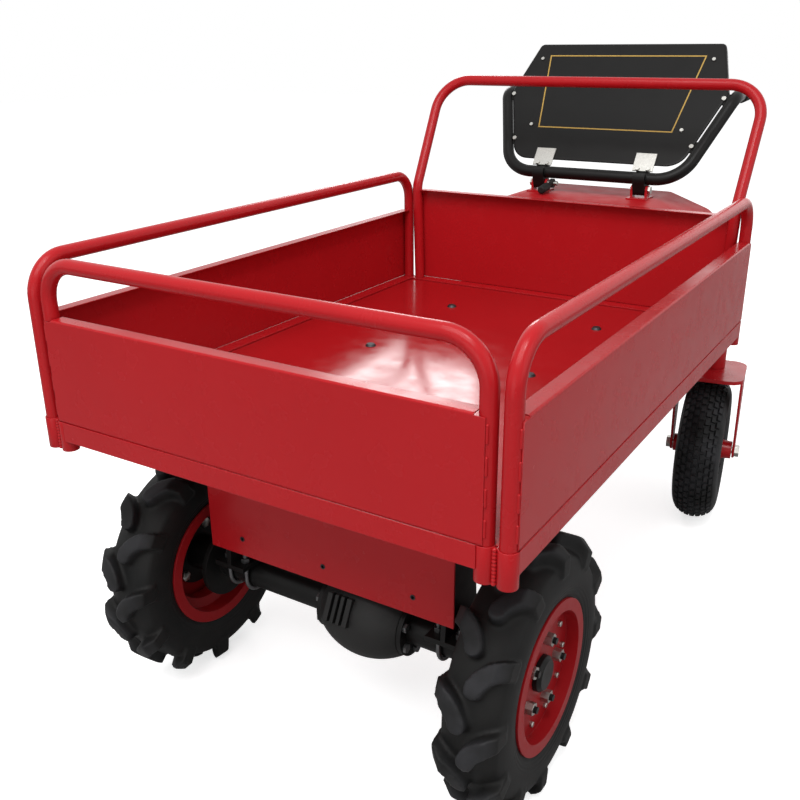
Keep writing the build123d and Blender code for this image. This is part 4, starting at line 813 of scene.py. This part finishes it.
# Pinstripe: a gold line screen-printed round the face of the panel, wider at the top as the panel is. It is a
# thin film of ink on the enamel.
stripe_top = 0.183
stripe_bottom = 0.156
stripe_low = 0.1106
stripe_high = 0.304
stripe_width = 0.0028
ink_film = 0.0002
bar_lean = radians(37.3)
bar_height = 0.766
panel_face = 0.006
pins_low, pins_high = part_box("fold_pins")
bar_low = Vector((0, (pins_low[1] + pins_high[1]) / 2, bar_height))
panel_up = Vector((0, sin(bar_lean), cos(bar_lean)))
panel_out = Vector((0, -cos(bar_lean), sin(bar_lean)))
stripe = start_piece(
    "panel_pinstripe",
    bpy.ops.mesh.primitive_plane_add,
    size=2,
    location=bar_low + panel_up * (stripe_low + stripe_high) / 2 + panel_out * panel_face,
    rotation=(pi / 2 - bar_lean, 0, 0),
)
bpy.ops.object.mode_set(mode="OBJECT")
for corner in stripe.data.vertices:
    half = stripe_top if corner.co.y > 0 else stripe_bottom
    corner.co = (half * corner.co.x, (stripe_high - stripe_low) / 2 * corner.co.y, 0)
bpy.ops.object.mode_set(mode="EDIT")
bpy.ops.mesh.select_all(action="SELECT")
bpy.ops.mesh.inset(thickness=stripe_width)
bpy.ops.mesh.delete(type="FACE")
set_place(stripe)
apply_modifier(stripe, "SOLIDIFY", thickness=ink_film, offset=1)

# Gold ink: a warm ochre with metal flake too fine to show. It is uneven in patches of 4 mm, where the screen
# laid it down thin.
gold_ink, *_ = mottled(
    "gold_screen_ink", "#a8853c", "#c9a654", 4, 3.0, {"Roughness": 0.45, "Specular IOR Level": 0.3}
)
give_finish(stripe, gold_ink, "handle")

# Grips: moulded rubber sleeves on the tube ends, the right-hand one twisting for the throttle. Each is a
# bored cylinder with a closed end and rings that stand out of it.
grip_length = 0.11
grip_radius = 0.0165
grip_plain = 0.006
grip_cap = 0.004
grip_bore = 0.0132
grip_toe = radians(5.41)
ring_height = 0.0013
ring_count = 13
ring_pitch = (grip_length - 2 * grip_plain) / ring_count
core = grip_radius - ring_height
ribbed_from = grip_plain - grip_length / 2
for node, body, toe in (("plain_grip", "handle", grip_toe), ("throttle_grip", "throttle", -grip_toe)):
    low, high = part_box(node)
    grip = start_piece(
        f"ribbed_{node}", bpy.ops.mesh.primitive_cylinder_add, vertices=40, radius=core, depth=grip_length
    )
    for cut in range(2 * ring_count):
        bpy.ops.mesh.select_all(action="SELECT")
        bpy.ops.mesh.bisect(plane_co=(0, 0, ribbed_from + cut * ring_pitch / 2), plane_no=(0, 0, 1))
    pick_faces(
        grip,
        lambda centre, normal: abs(normal.z) < 0.1
        and (centre.z - ribbed_from) % ring_pitch < ring_pitch / 2
        and abs(centre.z) < -ribbed_from,
    )
    bpy.ops.mesh.extrude_region_shrink_fatten(TRANSFORM_OT_shrink_fatten={"value": ring_height})
    pick_faces(grip, lambda centre, normal: normal.z < -0.9 and centre.z < ribbed_from - grip_plain / 2)
    bpy.ops.mesh.inset(thickness=core - grip_bore)
    bpy.ops.mesh.extrude_region_move(TRANSFORM_OT_translate={"value": (0, 0, grip_length - grip_cap)})
    bpy.ops.object.mode_set(mode="OBJECT")
    grip.rotation_euler = (Matrix.Rotation(toe, 4, "Z") @ Matrix.Rotation(-pi / 2, 4, "X")).to_euler()
    grip.location = (Vector(low) + Vector(high)) / 2
    set_place(grip)
    apply_modifier(grip, "BEVEL", width=eased_edge, segments=1, limit_method="ANGLE")
    give_finish(grip, soft_rubber, body)
    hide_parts(node)

size = {"cad": [list(cad_low), list(cad_high)], "visual": [list(corner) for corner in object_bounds()]}
